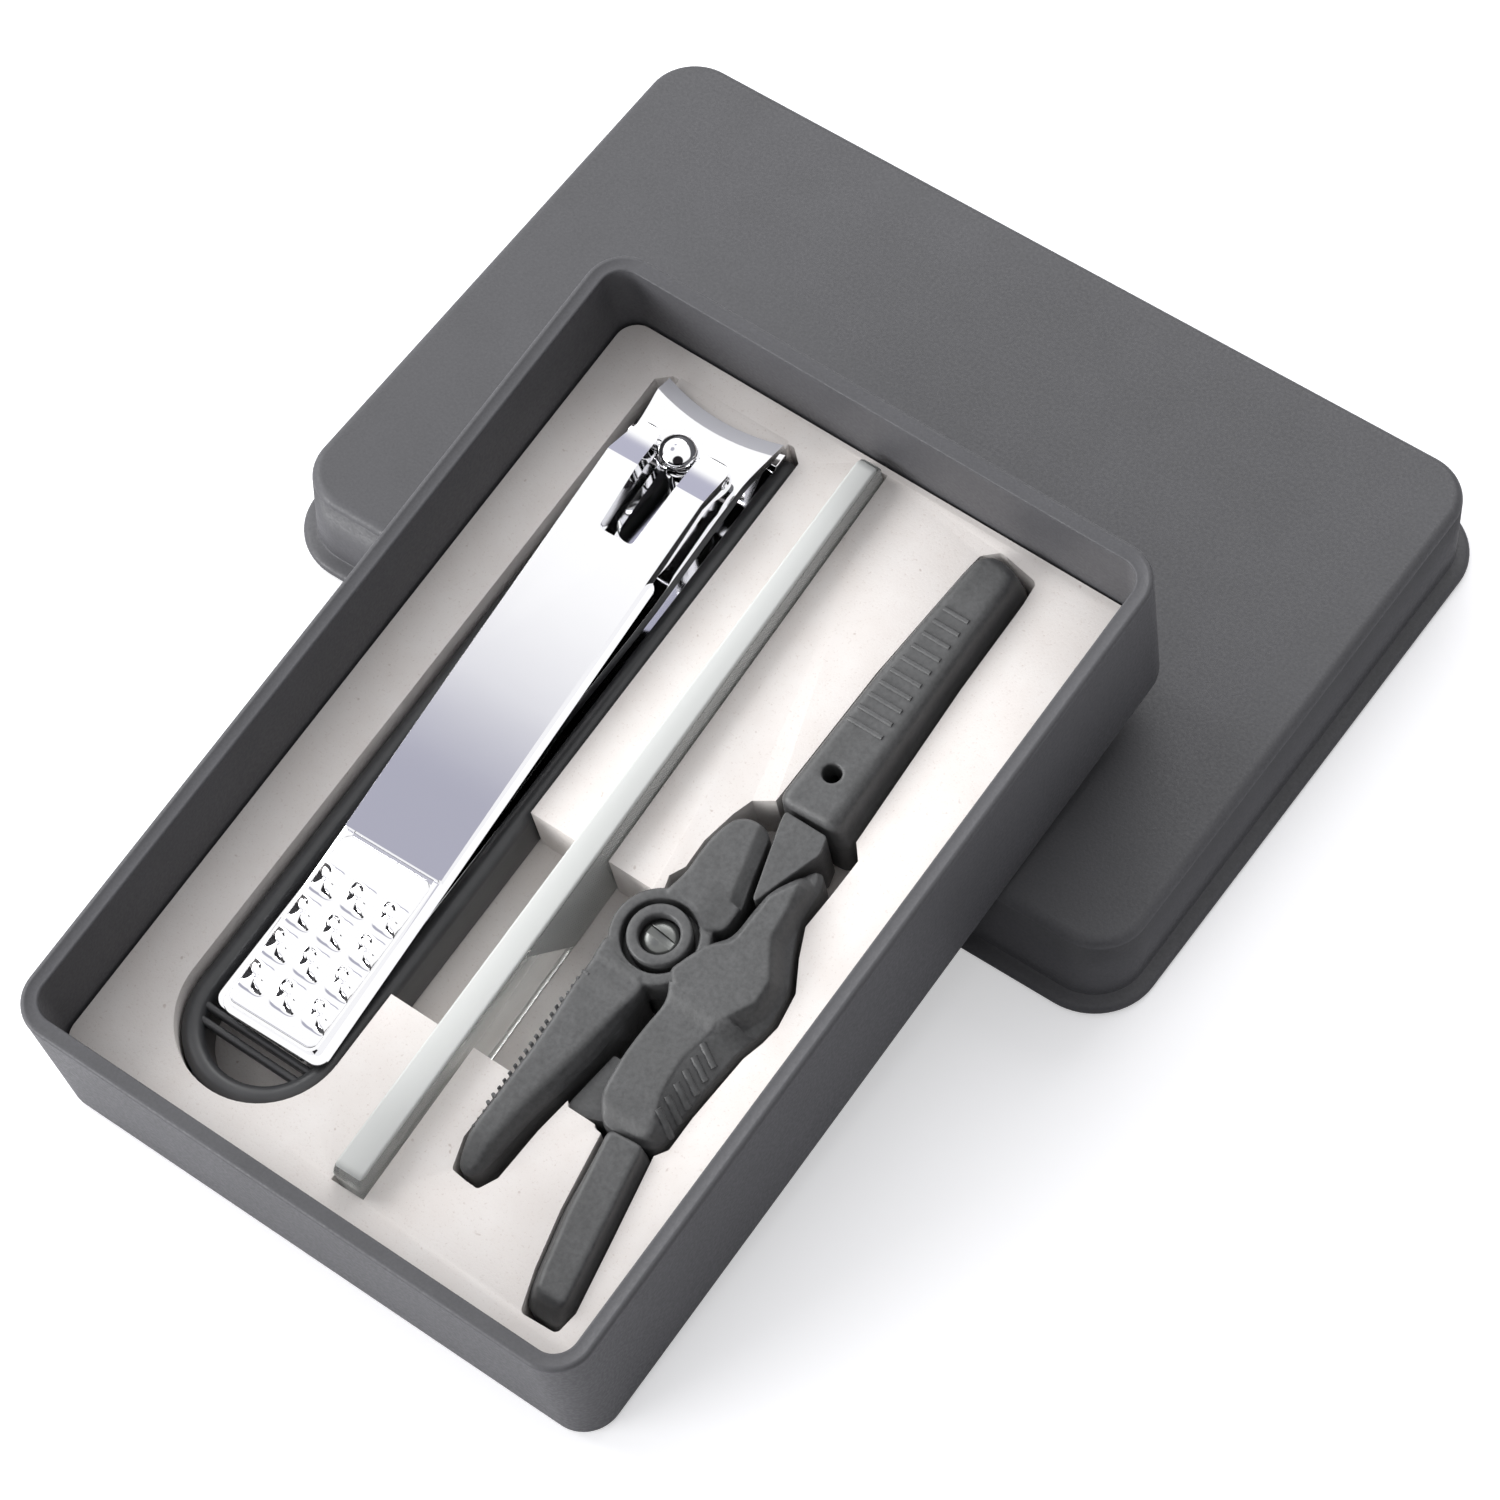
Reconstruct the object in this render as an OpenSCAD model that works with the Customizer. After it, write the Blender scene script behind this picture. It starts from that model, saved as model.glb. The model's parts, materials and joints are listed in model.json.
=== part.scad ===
// Manicure set case: an open tray leaning on its own lid. A two-layer foam insert in the tray holds
// a lever nail clipper, a glass nail file and a sprung pocket nipper. Millimetres, +Z up.
// The tray and all it holds are drawn level, with the origin at the middle of the tray's underside,
// and in_tray() then leans them on the lid.

/* [Tray] */
// Room between each end of the file and the tray's rim
end_room = 5.3; // [5:0.1:9]
// Room between the clipper's housing and the tray's rim
side_room = 9.8; // [9:0.1:14]
// Height of the tray
tray_h = 23; // [22:0.5:28]
// Thickness of the tray's walls
tray_wall = 2; // [1.6:0.1:2.2]
// Thickness of the tray's floor
tray_floor = 2; // [1.2:0.1:3]
// Radius of the rim's corners, seen from above
tray_corner = 4.8; // [4:0.2:7]
// How much each wall leans in from the rim to the underside
tray_draft = 0.4; // [0.1:0.1:0.6]
// Rounding of the edge round the underside
tray_foot_r = 0.8; // [0.4:0.1:1.2]
// Rounding of the rim's outer edge
rim_edge_r = 0.4; // [0.2:0.1:0.6]

/* [Lid] */
// Height of the lid
lid_h = 12.6; // [10:0.2:16]
// Thickness of the lid's walls
lid_wall = 1.3; // [1:0.1:2]
// Thickness of the lid's top
lid_top = 1.5; // [1:0.1:2]
// Gap all round between the lid and the tray's rim when the case is shut
lid_gap = 0.3; // [0.2:0.1:0.6]
// Rounding of the edge round the top
lid_edge_r = 1.2; // [0.6:0.1:1.2]
// How much each wall leans in from the open edge to the top
lid_draft = 0.25; // [0:0.05:0.3]
// How far the lip round the open edge stands out
lip_out = 1.6; // [1:0.1:2.4]
// Height of the lip
lip_h = 1.6; // [1.2:0.1:2.4]

/* [Leaning tray] */
// From the tray's lowest edge to the lid's upper edge, along the ground
lean_run = 73.8; // [68:0.2:80]
// Turn of the tray against the lid, in degrees
tray_turn = -1.24; // [-2:0.02:2]
// How far the tray sits to the right of the lid's middle
tray_shift = 4.1; // [-10:0.1:10]
// Gap left between the tray's underside and the lid's edge
lean_gap = 0.3; // [0.2:0.1:0.6]

/* [Foam] */
// Thickness of the foam's lower sheet
foam_base_t = 1; // [0.8:0.1:2]
// Thickness of the foam's cut sheet
foam_t = 8.5; // [7:0.5:10]
// Gap between the foam and the tray's walls
foam_gap = 0.1; // [0.1:0.05:0.3]
// Near edge of the finger notch
notch_near = -28; // [-30:0.5:-26]
// Width of the finger notch
notch_w = 25.3; // [22:0.5:27]
// Gap round the hard tools in their cut-outs
slot_gap = 0.3; // [0.2:0.1:0.5]
// Gap round the nipper in its cut-out
pocket_gap = 0.7; // [0.5:0.1:0.9]

/* [Clipper] */
// Place of the post across the tray
clip_x = -18; // [-18.4:0.1:-17.6]
// Place of the post along the tray
clip_y = 39.4; // [39:0.1:39.8]
// Half the width over the housing's rails
rail_half = 9.7; // [9.5:0.1:10]
// Width of a rail
rail_w = 2.6; // [2.2:0.1:2.6]
// Height of a rail
rail_h = 6.9; // [6.5:0.1:7]
// From the post back to the middle of the housing's rear loop
loop_back = 77; // [76:0.5:77.5]
// Room between the arms and the rails at each side
arm_room = 0.5; // [0.4:0.05:0.9]
// Thickness of an arm
arm_t = 1.8; // [1.6:0.1:1.8]
// Width of the cutting head
head_w = 15.8; // [15:0.1:16.4]
// From the post to the corners of the cutting head
head_reach = 8.6; // [8.4:0.1:9]
// Opening between the two cutting edges
jaw_gap = 1.1; // [0.9:0.1:1.2]
// Radius of the post
post_r = 1.8; // [1.6:0.05:1.9]
// Radius of the ball on the post
ball_r = 2.35; // [2.2:0.05:2.4]
// Height of the ball's middle over the foam's lower sheet
ball_z = 15.8; // [15.7:0.1:16.4]
// Radius of the pin that the lever flips on
flip_pin_r = 0.75; // [0.6:0.05:0.8]
// How far the lever reaches over the arms' rear end
lever_over = 1.7; // [1:0.1:2]
// Width of the lever
lever_w = 13.8; // [13:0.2:14.2]
// Thickness of the lever's sheet
lever_t = 1; // [0.8:0.1:1.1]
// Depth of the lever's side flanges
flange_h = 2.3; // [2:0.1:2.4]
// Length of the textured thumb pad
pad_len = 24; // [18:0.5:30]
// Slope of the folded lever, in degrees
lever_slope = 3.9; // [3.7:0.1:4]
// Sideways turn of the folded lever, in degrees
lever_turn = 1.5; // [0:0.1:1.6]
// Radius of the rivet through the arms' rear end
rivet_r = 1.5; // [1.2:0.1:1.8]

/* [Glass file] */
// Length of the file
file_len = 99.4; // [90:0.2:100]
// Width of the file, which stands on edge
file_h = 11.5; // [10.5:0.5:13]
// Thickness at the handle end
file_t_near = 3.7; // [3:0.1:4]
// Thickness at the tip
file_t_far = 2.6; // [2.2:0.1:3.2]
// Rounding of the file's corners
file_corner = 1.6; // [1:0.1:2.5]

/* [Nipper] */
// Place of the pivot across the tray
nip_x = 13.1; // [12.9:0.1:13.4]
// Place of the pivot along the tray
nip_y = -7.2; // [-7.4:0.1:-7]
// Thickness of the body
nip_t = 10.7; // [9.5:0.1:11]
// Height of the layer in which the body and the lever cross
nip_layer = 5.2; // [4.8:0.1:5.6]
// Outer radius of the pivot bush
bush_r = 3.6; // [3.3:0.05:3.7]
// Radius of the bush's shank
shank_r = 2.6; // [2.4:0.05:2.8]
// Radius of the bore that the screw sits in
screw_seat_r = 2.3; // [1.8:0.05:2.4]
// Outer radius of the collar round the bush
collar_r = 5.6; // [5.3:0.1:5.8]
// Thickness of the washer between the body and the lever
washer_t = 0.3; // [0.2:0.05:0.4]
// Length of the sheath
sheath_len = 37.4; // [36:0.2:37.8]
// Thickness of the sheath
sheath_t = 10.8; // [9.8:0.1:11]
// Radius of the lanyard hole
lanyard_r = 1.1; // [0.8:0.1:1.3]
// Wire thickness of the nipper's spring
wire_d = 0.5; // [0.4:0.05:0.55]
// Radius of the spring's coil, to the middle of the wire
coil_r = 1.4; // [1.2:0.05:1.5]
// Turns of the spring
coil_turns = 4; // [3:1:5]
// Height of a grip rib
rib_h = 0.3; // [0.2:0.05:0.4]

/* [Hidden] */

case_grey = [0.33, 0.33, 0.34];
foam_beige = [0.88, 0.86, 0.83];
tool_grey = [0.27, 0.28, 0.28];
chrome_white = [0.85, 0.86, 0.88];
glass_green = [0.78, 0.84, 0.82, 0.6];

eps = 0.02;
run_gap = 0.05;
clear = 0.3;

sheath_start = 19.5;
sheath_drawn = 37.4;
tray_len = max(file_len, 2 * (nip_y + sheath_start + sheath_len)) + 2 * end_room;
tray_wid = 2 * (rail_half + side_room - clip_x);
arm_w = 2 * (rail_half - rail_w - arm_room);
arm_back = loop_back + 0.5;
lever_len = arm_back + lever_over;
base_len = tray_len - 2 * tray_draft;
base_wid = tray_wid - 2 * tray_draft;
lid_len = tray_len + 2 * (lid_gap + lid_wall);
lid_wid = tray_wid + 2 * (lid_gap + lid_wall);
lid_corner = tray_corner + lid_gap + lid_wall;

// The tray leans like a ruler on two round bars: its own foot edge on the ground and the lid's edge.
lean_rise = lid_h - lid_edge_r - tray_foot_r;
lean_reach = sqrt(lean_run * lean_run + lean_rise * lean_rise);
tray_tilt = atan2(lean_rise, lean_run)
    + asin((lid_edge_r + tray_foot_r + lean_gap) / lean_reach);
lid_edge_y = -(lid_wid / 2 - lid_draft - lid_edge_r);
foot_y = base_len / 2 - tray_foot_r;
tray_y = lid_edge_y - lean_run + foot_y * cos(tray_tilt) + tray_foot_r * sin(tray_tilt);
tray_z = tray_foot_r + foot_y * sin(tray_tilt) - tray_foot_r * cos(tray_tilt);

// The whole object's middle, front to back, lies on the origin.
rim_dir = [sin(tray_turn), cos(tray_turn) * cos(tray_tilt)];
rim_reach = abs(rim_dir.x) * (tray_wid / 2 - tray_corner)
    + rim_dir.y * (tray_len / 2 - tray_corner) + norm(rim_dir) * tray_corner
    + (tray_h - rim_edge_r) * sin(tray_tilt) * cos(tray_turn);
near_y = tray_y - rim_reach;
lid_y = -(near_y + lid_wid / 2 + lip_out) / 2;

pocket_z = tray_floor + foam_base_t;
file_x = 1.53;
file_y = 1.7 - file_len / 2;
file_turn = 1.075;
foam_top = pocket_z + foam_t;

// Clipper, measured from the post's axis and the top of the foam's lower sheet
sole = 0.1;
housing_floor = 0.9;
arm_low_z = 2.8;
arm_dip = 0.7;
arm_joint = loop_back - 17;
upper_z = arm_low_z + arm_t + clear;
upper_front_z = 9.1;
edge_z = 9;
knuckle_r = lever_t + flip_pin_r;
pin_z = ball_z - ball_r - 0.2;
rivet_y = -(loop_back - 6);
bar_y = loop_back + 2.4;

// Nipper, measured from its pivot and the top of the foam's lower sheet
nip_foot = 0.3;
nip_top = nip_foot + nip_t;
nip_knee = 8.3;
layer_z = nip_foot + nip_layer;
lever_z = layer_z + washer_t + 0.1;
hub_top = 8;
squeeze = 2;

function unit(v) = v / norm(v);
function xy(p) = [for (q = p) [q[0], q[1]]];
function foot(p) = [for (q = p) [q[0] + q[2], q[1] + q[3]]];
function blend(p, k) = [for (q = p) [q[0] + q[2] * k, q[1] + q[3] * k]];
function soften(p, n) = n == 0 ? p : soften([
    for (i = [0:len(p) - 1]) let (a = p[i], b = p[(i + 1) % len(p)])
        each [0.75 * a + 0.25 * b, 0.25 * a + 0.75 * b]], n - 1);
function left_of(v) = [-v.y, v.x];
function inset(p, d) = [
    for (i = [0:len(p) - 1])
        let (a = p[(i + len(p) - 1) % len(p)], b = p[i], c = p[(i + 1) % len(p)],
             m = left_of(unit(b - a)), n = left_of(unit(c - b)), s = unit(m + n))
            b + s * d / max(0.4, s * m)];

// A closed body through rings of equal count, each given as [height, outline]
module loft(rings) {
    n = len(rings[0][1]);
    top = (len(rings) - 1) * n;
    polyhedron(
        points = [for (r = rings) for (q = r[1]) [q.x, q.y, r[0]]],
        faces = concat(
            [[for (i = [0:n - 1]) i]],
            [[for (i = [n - 1:-1:0]) top + i]],
            [for (k = [0:len(rings) - 2]) for (i = [0:n - 1])
                let (a = k * n + i, b = k * n + (i + 1) % n)
                    each [[a, a + n, b + n], [a, b + n, b]]]));
}

// A moulded body: rows of [x, y, sx, sy], where the wall's foot stands out by sx, sy from its top
module moulded(rows, z0, z1, knee, edge = 0.5) {
    loft([
        [z0, inset(foot(rows), edge)],
        [z0 + edge, foot(rows)],
        [knee, foot(rows)],
        [z1 - edge, blend(rows, edge / (z1 - knee))],
        [z1, inset(xy(rows), edge * 0.6)]]);
}

// The same in two plain layers
module stepped(rows, z0, z1, knee) {
    translate([0, 0, z0]) linear_extrude(knee - z0) polygon(foot(rows));
    translate([0, 0, z0 + 1]) linear_extrude(z1 - z0 - 1) polygon(xy(rows));
}

module rounded(w, l, r) {
    offset(r = r, $fn = 48) square([w - 2 * r, l - 2 * r], center = true);
}

// A convex shell through [height, inset] levels
module drafted(w, l, r, levels) {
    hull() for (v = levels)
        translate([0, 0, v[0] - eps]) linear_extrude(eps) rounded(w - 2 * v[1], l - 2 * v[1], r - v[1]);
}

module in_tray() {
    translate([tray_shift, lid_y + tray_y, tray_z]) rotate([tray_tilt, 0, tray_turn]) children();
}
module at_clipper() { in_tray() translate([clip_x, clip_y, pocket_z]) children(); }
module at_nipper() { in_tray() translate([nip_x, nip_y, pocket_z]) children(); }
module at_lever() {
    at_clipper() translate([0, 0, pin_z]) rotate([0, 0, lever_turn]) rotate([lever_slope, 0, 0]) children();
}
module at_file() {
    in_tray() translate([file_x, file_y, pocket_z + sole]) rotate([0, 0, file_turn]) children();
}

// Case

function lower_round(r, z, out) = [for (a = [0:15:90]) [z + max(eps, r * (1 - cos(a))), out + r * (1 - sin(a))]];
function upper_round(r, z, out) = [for (a = [0:15:90]) [z - r * (1 - sin(a)), out + r * (1 - cos(a))]];

module lid() {
    color(case_grey) translate([0, lid_y, 0]) difference() {
        union() {
            drafted(lid_len, lid_wid, lid_corner, concat([[eps, 0]],
                upper_round(lid_edge_r, lid_h, lid_draft)));
            drafted(lid_len + 2 * lip_out, lid_wid + 2 * lip_out, lid_corner + lip_out,
                concat(lower_round(lip_h / 2, 0, 0), upper_round(lip_h / 2, lip_h, 0)));
        }
        drafted(lid_len - 2 * lid_wall, lid_wid - 2 * lid_wall, lid_corner - lid_wall,
            [[-1, 0], [lid_h - lid_top - 0.6, lid_draft], [lid_h - lid_top, lid_draft + 0.5]]);
    }
}

module tray() {
    color(case_grey) in_tray() difference() {
        drafted(tray_wid, tray_len, tray_corner, concat(
            lower_round(tray_foot_r, 0, tray_draft), upper_round(rim_edge_r, tray_h, 0)));
        drafted(tray_wid - 2 * tray_wall, tray_len - 2 * tray_wall, tray_corner - tray_wall,
            [[tray_floor + eps, tray_draft], [tray_h + 1, 0]]);
    }
}

// Foam, in two sheets

module foam_sheet(z, t) {
    translate([0, 0, z + 0.05]) linear_extrude(t - 0.05) rounded(
        tray_wid - 2 * (tray_wall + tray_draft + foam_gap),
        tray_len - 2 * (tray_wall + tray_draft + foam_gap), tray_corner - tray_wall - 0.1);
}

module foam_base() {
    color(foam_beige) in_tray() foam_sheet(tray_floor, foam_base_t);
}

module clipper_slot() {
    half = rail_half + slot_gap;
    translate([clip_x, clip_y]) union() {
        translate([0, -loop_back]) circle(half, $fn = 96);
        polygon([[-half, -loop_back], [half, -loop_back], [half, 8.2], [half - 1.6, 9.6],
            [1.6 - half, 9.6], [-half, 8.2]]);
    }
}

module file_plan(gap) {
    polygon([[-file_t_near / 2 - gap, -gap], [file_t_near / 2 + gap, -gap],
        [file_t_far / 2 + gap, file_len + gap], [-file_t_far / 2 - gap, file_len + gap]]);
}

module nipper_pocket() {
    translate([nip_x, nip_y]) {
        offset(r = pocket_gap, $fn = 24) {
            polygon(foot(body_rows));
            polygon(foot(sheath_rows));
            polygon(foot(tail_rows));
            polygon(stem_plan);
            circle(collar_r, $fn = 64);
        }
        for (a = [0:0.5:1]) rotate(a * squeeze) offset(r = pocket_gap - 0.2, $fn = 24) {
            polygon(foot(grip_rows));
            polygon(foot(jaw_rows));
        }
        polygon([[-4, 6.8], [-3.1, 8.6], [-3.2, 12.2], [-2.4, 16.4], [-1.6, 18.8], [0.6, 20.2],
            [7.4, 20], [7.4, 0], [-2, 0]]);
        polygon([[0, 0], [0, -6], [1, -18.5], [2.6, -20.6], [7, -20.6], [8, 0]]);
        polygon([[8, 21.5], [10.4, 21.4], [12.2, 19.3], [12.1, 14.8], [11.8, 8.4], [6, 6], [6, 20]]);
    }
}

module foam_insert() {
    color(foam_beige) in_tray() difference() {
        foam_sheet(pocket_z, foam_t);
        translate([0, 0, pocket_z - 1]) linear_extrude(foam_t + 2) {
            clipper_slot();
            translate([file_x, file_y]) rotate(file_turn) file_plan(slot_gap);
            translate([clip_x, notch_near]) square([26.4, notch_w]);
            nipper_pocket();
        }
    }
}

// Nail clipper

// A sheet-metal piece: a side view, drawn as [y, z], kept inside a plan view
module pressed(side, plan) {
    intersection() {
        translate([-20, 0, 0]) rotate([90, 0, 90]) linear_extrude(40) polygon(side);
        translate([0, 0, -5]) linear_extrude(30) polygon(plan);
    }
}

function arm_plan(head) = [[-arm_w / 2, -arm_back + 1.5], [1.5 - arm_w / 2, -arm_back],
    [arm_w / 2 - 1.5, -arm_back], [arm_w / 2, -arm_back + 1.5], [arm_w / 2, 1.5],
    [head / 2, 6], [head / 2, head_reach], [-head / 2, head_reach], [-head / 2, 6],
    [-arm_w / 2, 1.5]];

module edge_hollow() {
    sag = 1.3;
    hollow_r = (head_w * head_w / 4 + sag * sag) / (2 * sag);
    translate([0, head_reach - sag + hollow_r, -5]) cylinder(h = 30, r = hollow_r, $fn = 160);
}

module clipper_housing() {
    in = rail_half - rail_w;
    color(tool_grey) at_clipper() {
        difference() {
            translate([0, 0, sole]) union() {
                linear_extrude(rail_h) difference() {
                    union() {
                        translate([0, -loop_back]) circle(rail_half, $fn = 96);
                        translate([-rail_half, -loop_back]) square([2 * rail_half, loop_back + 8.8]);
                    }
                    translate([0, -loop_back]) circle(in, $fn = 96);
                    translate([-in, -loop_back]) square([2 * in, loop_back + 12]);
                }
                translate([-in - 0.5, -66, 0]) cube([2 * in + 1, 74, housing_floor]);
            }
            for (s = [-1, 1]) translate([s * (rail_half - rail_w / 2), 8.8 - rail_w / 2, -1])
                linear_extrude(20) difference() {
                    translate([-rail_w, 0]) square([2 * rail_w, rail_w]);
                    circle(rail_w / 2, $fn = 48);
                }
        }
        translate([-5, -66, housing_floor]) cube([10, 8, arm_low_z - housing_floor - 0.05]);
        translate([-5, -16, housing_floor]) cube([10, 8, arm_low_z - arm_dip - housing_floor - 0.05]);
        for (k = [0, 1]) translate([-in - 0.5, -bar_y - 1.6 * k, 5]) cube([2 * in + 1, 0.8, 1.5]);
    }
}

module clipper_lower_arm() {
    z1 = arm_low_z - arm_dip;
    lip = edge_z - jaw_gap;
    side = [[-arm_back, arm_low_z], [-arm_joint, arm_low_z], [-2, z1], [3, z1],
        [head_reach, lip - 1.4], [head_reach, lip], [head_reach - 1.8, lip], [2.2, z1 + arm_t],
        [-2, z1 + arm_t], [-arm_joint, arm_low_z + arm_t], [-arm_back, arm_low_z + arm_t]];
    color(chrome_white) at_clipper() difference() {
        union() {
            pressed(side, arm_plan(arm_w));
            intersection() {
                pressed(side, arm_plan(head_w));
                translate([-10, 0, rail_h + sole + clear]) cube([20, 20, 5]);
            }
        }
        edge_hollow();
        translate([0, 0, -1]) cylinder(h = 10, r = post_r + run_gap, $fn = 64);
        translate([0, rivet_y, -1]) cylinder(h = 10, r = rivet_r + eps, $fn = 64);
    }
}

module clipper_upper_arm() {
    side = [[-arm_back, upper_z], [-arm_joint, upper_z], [-3, upper_front_z], [3, upper_front_z + 0.3],
        [head_reach - 1, edge_z], [head_reach, edge_z], [head_reach, edge_z + 0.5],
        [3.4, upper_front_z + 0.1 + arm_t], [-3, upper_front_z + arm_t],
        [-arm_joint, upper_z + arm_t], [-arm_back, upper_z + arm_t]];
    color(chrome_white) at_clipper() difference() {
        pressed(side, arm_plan(head_w));
        edge_hollow();
        translate([0, 0, 5]) cylinder(h = 10, r = post_r + 0.6, $fn = 64);
        translate([0, rivet_y, 3]) cylinder(h = 10, r = rivet_r + clear, $fn = 64);
    }
}

module clipper_rear_rivet() {
    color(chrome_white) at_clipper() translate([0, rivet_y, 0]) {
        translate([0, 0, arm_low_z - 0.75]) cylinder(h = 0.7, r = rivet_r + 1, $fn = 64);
        translate([0, 0, arm_low_z - 0.5]) cylinder(h = upper_z + arm_t - arm_low_z + 1, r = rivet_r, $fn = 64);
        translate([0, 0, upper_z + arm_t + 0.12]) cylinder(h = 0.7, r1 = rivet_r + 1, r2 = rivet_r + 0.4, $fn = 64);
    }
}

module clipper_post() {
    foot_z = arm_low_z - arm_dip;
    color(chrome_white) at_clipper() difference() {
        union() {
            translate([0, 0, foot_z - 0.75]) cylinder(h = 0.7, r = post_r + 0.9, $fn = 64);
            translate([0, 0, foot_z - 0.5]) cylinder(h = ball_z - foot_z, r = post_r, $fn = 64);
            translate([0, 0, ball_z]) sphere(ball_r, $fn = 64);
        }
        rotate([0, 0, lever_turn]) translate([-5, 0, pin_z]) rotate([0, 90, 0])
            cylinder(h = 10, r = flip_pin_r + run_gap, $fn = 48);
    }
}

module clipper_lever() {
    w = lever_w / 2;
    color(chrome_white) at_lever() difference() {
        union() {
            difference() {
                translate([-w, -lever_len, knuckle_r - flange_h]) cube([lever_w, lever_len - 2.2, flange_h]);
                translate([lever_t - w, lever_t - lever_len, knuckle_r - flange_h - 1])
                    cube([lever_w - 2 * lever_t, lever_len, flange_h + 1 - lever_t]);
            }
            translate([-w, -3, knuckle_r - lever_t]) cube([lever_w, 3, lever_t]);
            for (s = [-1, 1]) translate([s * (w + 2.75) / 2, 0, 0]) rotate([0, 90, 0])
                cylinder(h = w - 2.75, r = knuckle_r, center = true, $fn = 64);
        }
        translate([0, 0, -5]) linear_extrude(10)
            polygon([[-2.75, 5], [-2.75, -3], [-2, -11.5], [2, -11.5], [2.75, -3], [2.75, 5]]);
        translate([-10, 0, 0]) rotate([0, 90, 0]) cylinder(h = 20, r = flip_pin_r + eps, $fn = 48);
    }
}

module clipper_lever_pin() {
    color(chrome_white) at_lever() translate([0.2 - lever_w / 2, 0, 0]) rotate([0, 90, 0])
        cylinder(h = lever_w - 0.4, r = flip_pin_r, $fn = 48);
}

// Glass file, standing on edge

module glass_file() {
    color(glass_green) at_file() intersection() {
        linear_extrude(file_h) file_plan(0);
        translate([-5, 0, 0]) rotate([90, 0, 90]) linear_extrude(10)
            translate([file_corner, file_corner]) offset(r = file_corner, $fn = 32)
                square([file_len - 2 * file_corner, file_h - 2 * file_corner]);
    }
}

// Nipper. Rows give [x, y] at the top and how far the foot stands out from it

body_rows = [
    [5.3, -17.8, 0, 0], [6.8, -20.1, 0, -0.2], [8.6, -20.3, 0, -0.2], [11.9, -19.3, 0.9, -0.6],
    [12.2, -18.4, 1.6, 0], [10.1, -14.3, 3.7, 0], [9.4, -9.9, 4.7, 0], [10.1, -5.8, 4.3, 0],
    [11.8, -3.2, 3.3, 0], [13.2, -1, 2.2, 0], [12.6, 2.9, 2.2, 0], [10.3, 6.3, 2.5, 0],
    [9.8, 10, 1.3, 0], [9.6, 14.4, 1.3, 0], [8.9, 15.8, 0.8, 0.6], [6.9, 11, 0, 0],
    [6.6, 8, 0, 0], [6.8, 4.2, 0, 0], [4.8, 1.9, 0, 0], [3, -2.5, 0, 0],
    [4.9, -4.8, 0, 0], [4.6, -8.9, 0, 0], [4.8, -12.9, 0, 0]];
stem_plan = [[3.5, 16.4], [6.1, 8.6], [6.5, 11.1], [8.6, 16.2], [8.4, 19.3], [7, 19.3], [7, 46],
    [5.5, 49], [4, 46], [4, 19.3], [3, 19.3]];
jaw_rows = [
    [-2.6, 4.6, 0, 0], [3.2, 3, 0, 0], [5.3, 4.6, 0, 0], [5.2, 8, 0, 0], [4.4, 10.4, 0, 0],
    [3, 15.8, 0, 0], [2.1, 16.5, 0, 0], [0.3, 16.1, -0.2, 0.2], [-1, 15.3, -0.3, 0],
    [-1.8, 12.8, -0.3, 0], [-1.9, 10.2, -0.3, 0], [-1.8, 7.7, -0.3, 0]];
grip_rows = [
    [1.8, -5.1, 0.4, 0], [-4.9, -2.6, 0, 0], [-4.7, -5.4, -0.3, 0], [-4.5, -9.9, -0.3, 0],
    [-4.1, -13.9, -0.3, 0], [-3.9, -17.6, -0.3, 0], [-3.9, -25.3, -0.3, 0], [-3.9, -29.4, -0.3, 0],
    [-3, -32, -0.2, -0.6], [-1.7, -32.2, 0.3, -0.6], [-1.6, -30.6, 1.2, -0.4], [-1.4, -24.5, 1.6, 0],
    [-0.6, -19.4, 1.7, 0], [0.4, -14, 1.5, 0], [1, -9.9, 1, 0]];
sheath_drawn_rows = [
    [1.6, 19.8, -0.3, 0], [8, 20.3, 2.1, -0.6], [7.9, 31.7, 1.7, 0], [7.7, 42, 1.5, 0],
    [7.6, 54, 1.5, 0], [7.4, 55.9, 1.5, 0.5], [4.4, 56.4, 0.1, 0.8], [3.4, 55.2, -0.3, 0.8],
    [3.2, 53.5, -0.4, 0], [2.1, 38.4, -0.4, 0]];
sheath_rows = [for (q = sheath_drawn_rows)
    [q[0], sheath_start + (q[1] - sheath_start) * sheath_len / sheath_drawn, q[2], q[3]]];
tail_rows = [
    [8.3, -20.8, -0.3, 0], [10.1, -30.1, -0.6, 0], [11.7, -36.8, -0.6, 0], [12.9, -40, -0.4, -1],
    [15.2, -39.4, 0.8, -1.4], [15.5, -38.6, 0.8, 0], [13.9, -29.8, 0.8, 0], [12, -20.3, 0.9, 0]];

module nipper_body() {
    color(tool_grey) at_nipper() difference() {
        union() {
            moulded(body_rows, nip_foot, nip_top, nip_knee, 0.4);
            translate([0, 0, nip_foot + 0.1]) cylinder(h = nip_layer + 0.2, r = collar_r - 0.3, $fn = 96);
        }
        translate([0, 0, layer_z]) cylinder(h = hub_top + clear - layer_z, r = collar_r + clear, $fn = 96);
        translate([0, 0, hub_top]) cylinder(h = 10, r = bush_r + clear, $fn = 96);
        translate([0, 0, -5]) cylinder(h = 20, r = shank_r + eps, $fn = 96);
        translate([-1, -3.6 - 20, nip_top - 0.5]) cube([20, 20, 5]);
        translate([4.2, -10, 4]) rotate([0, 90, 0]) cylinder(h = 1.4, r = coil_r + 0.5, $fn = 48);
    }
}

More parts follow.
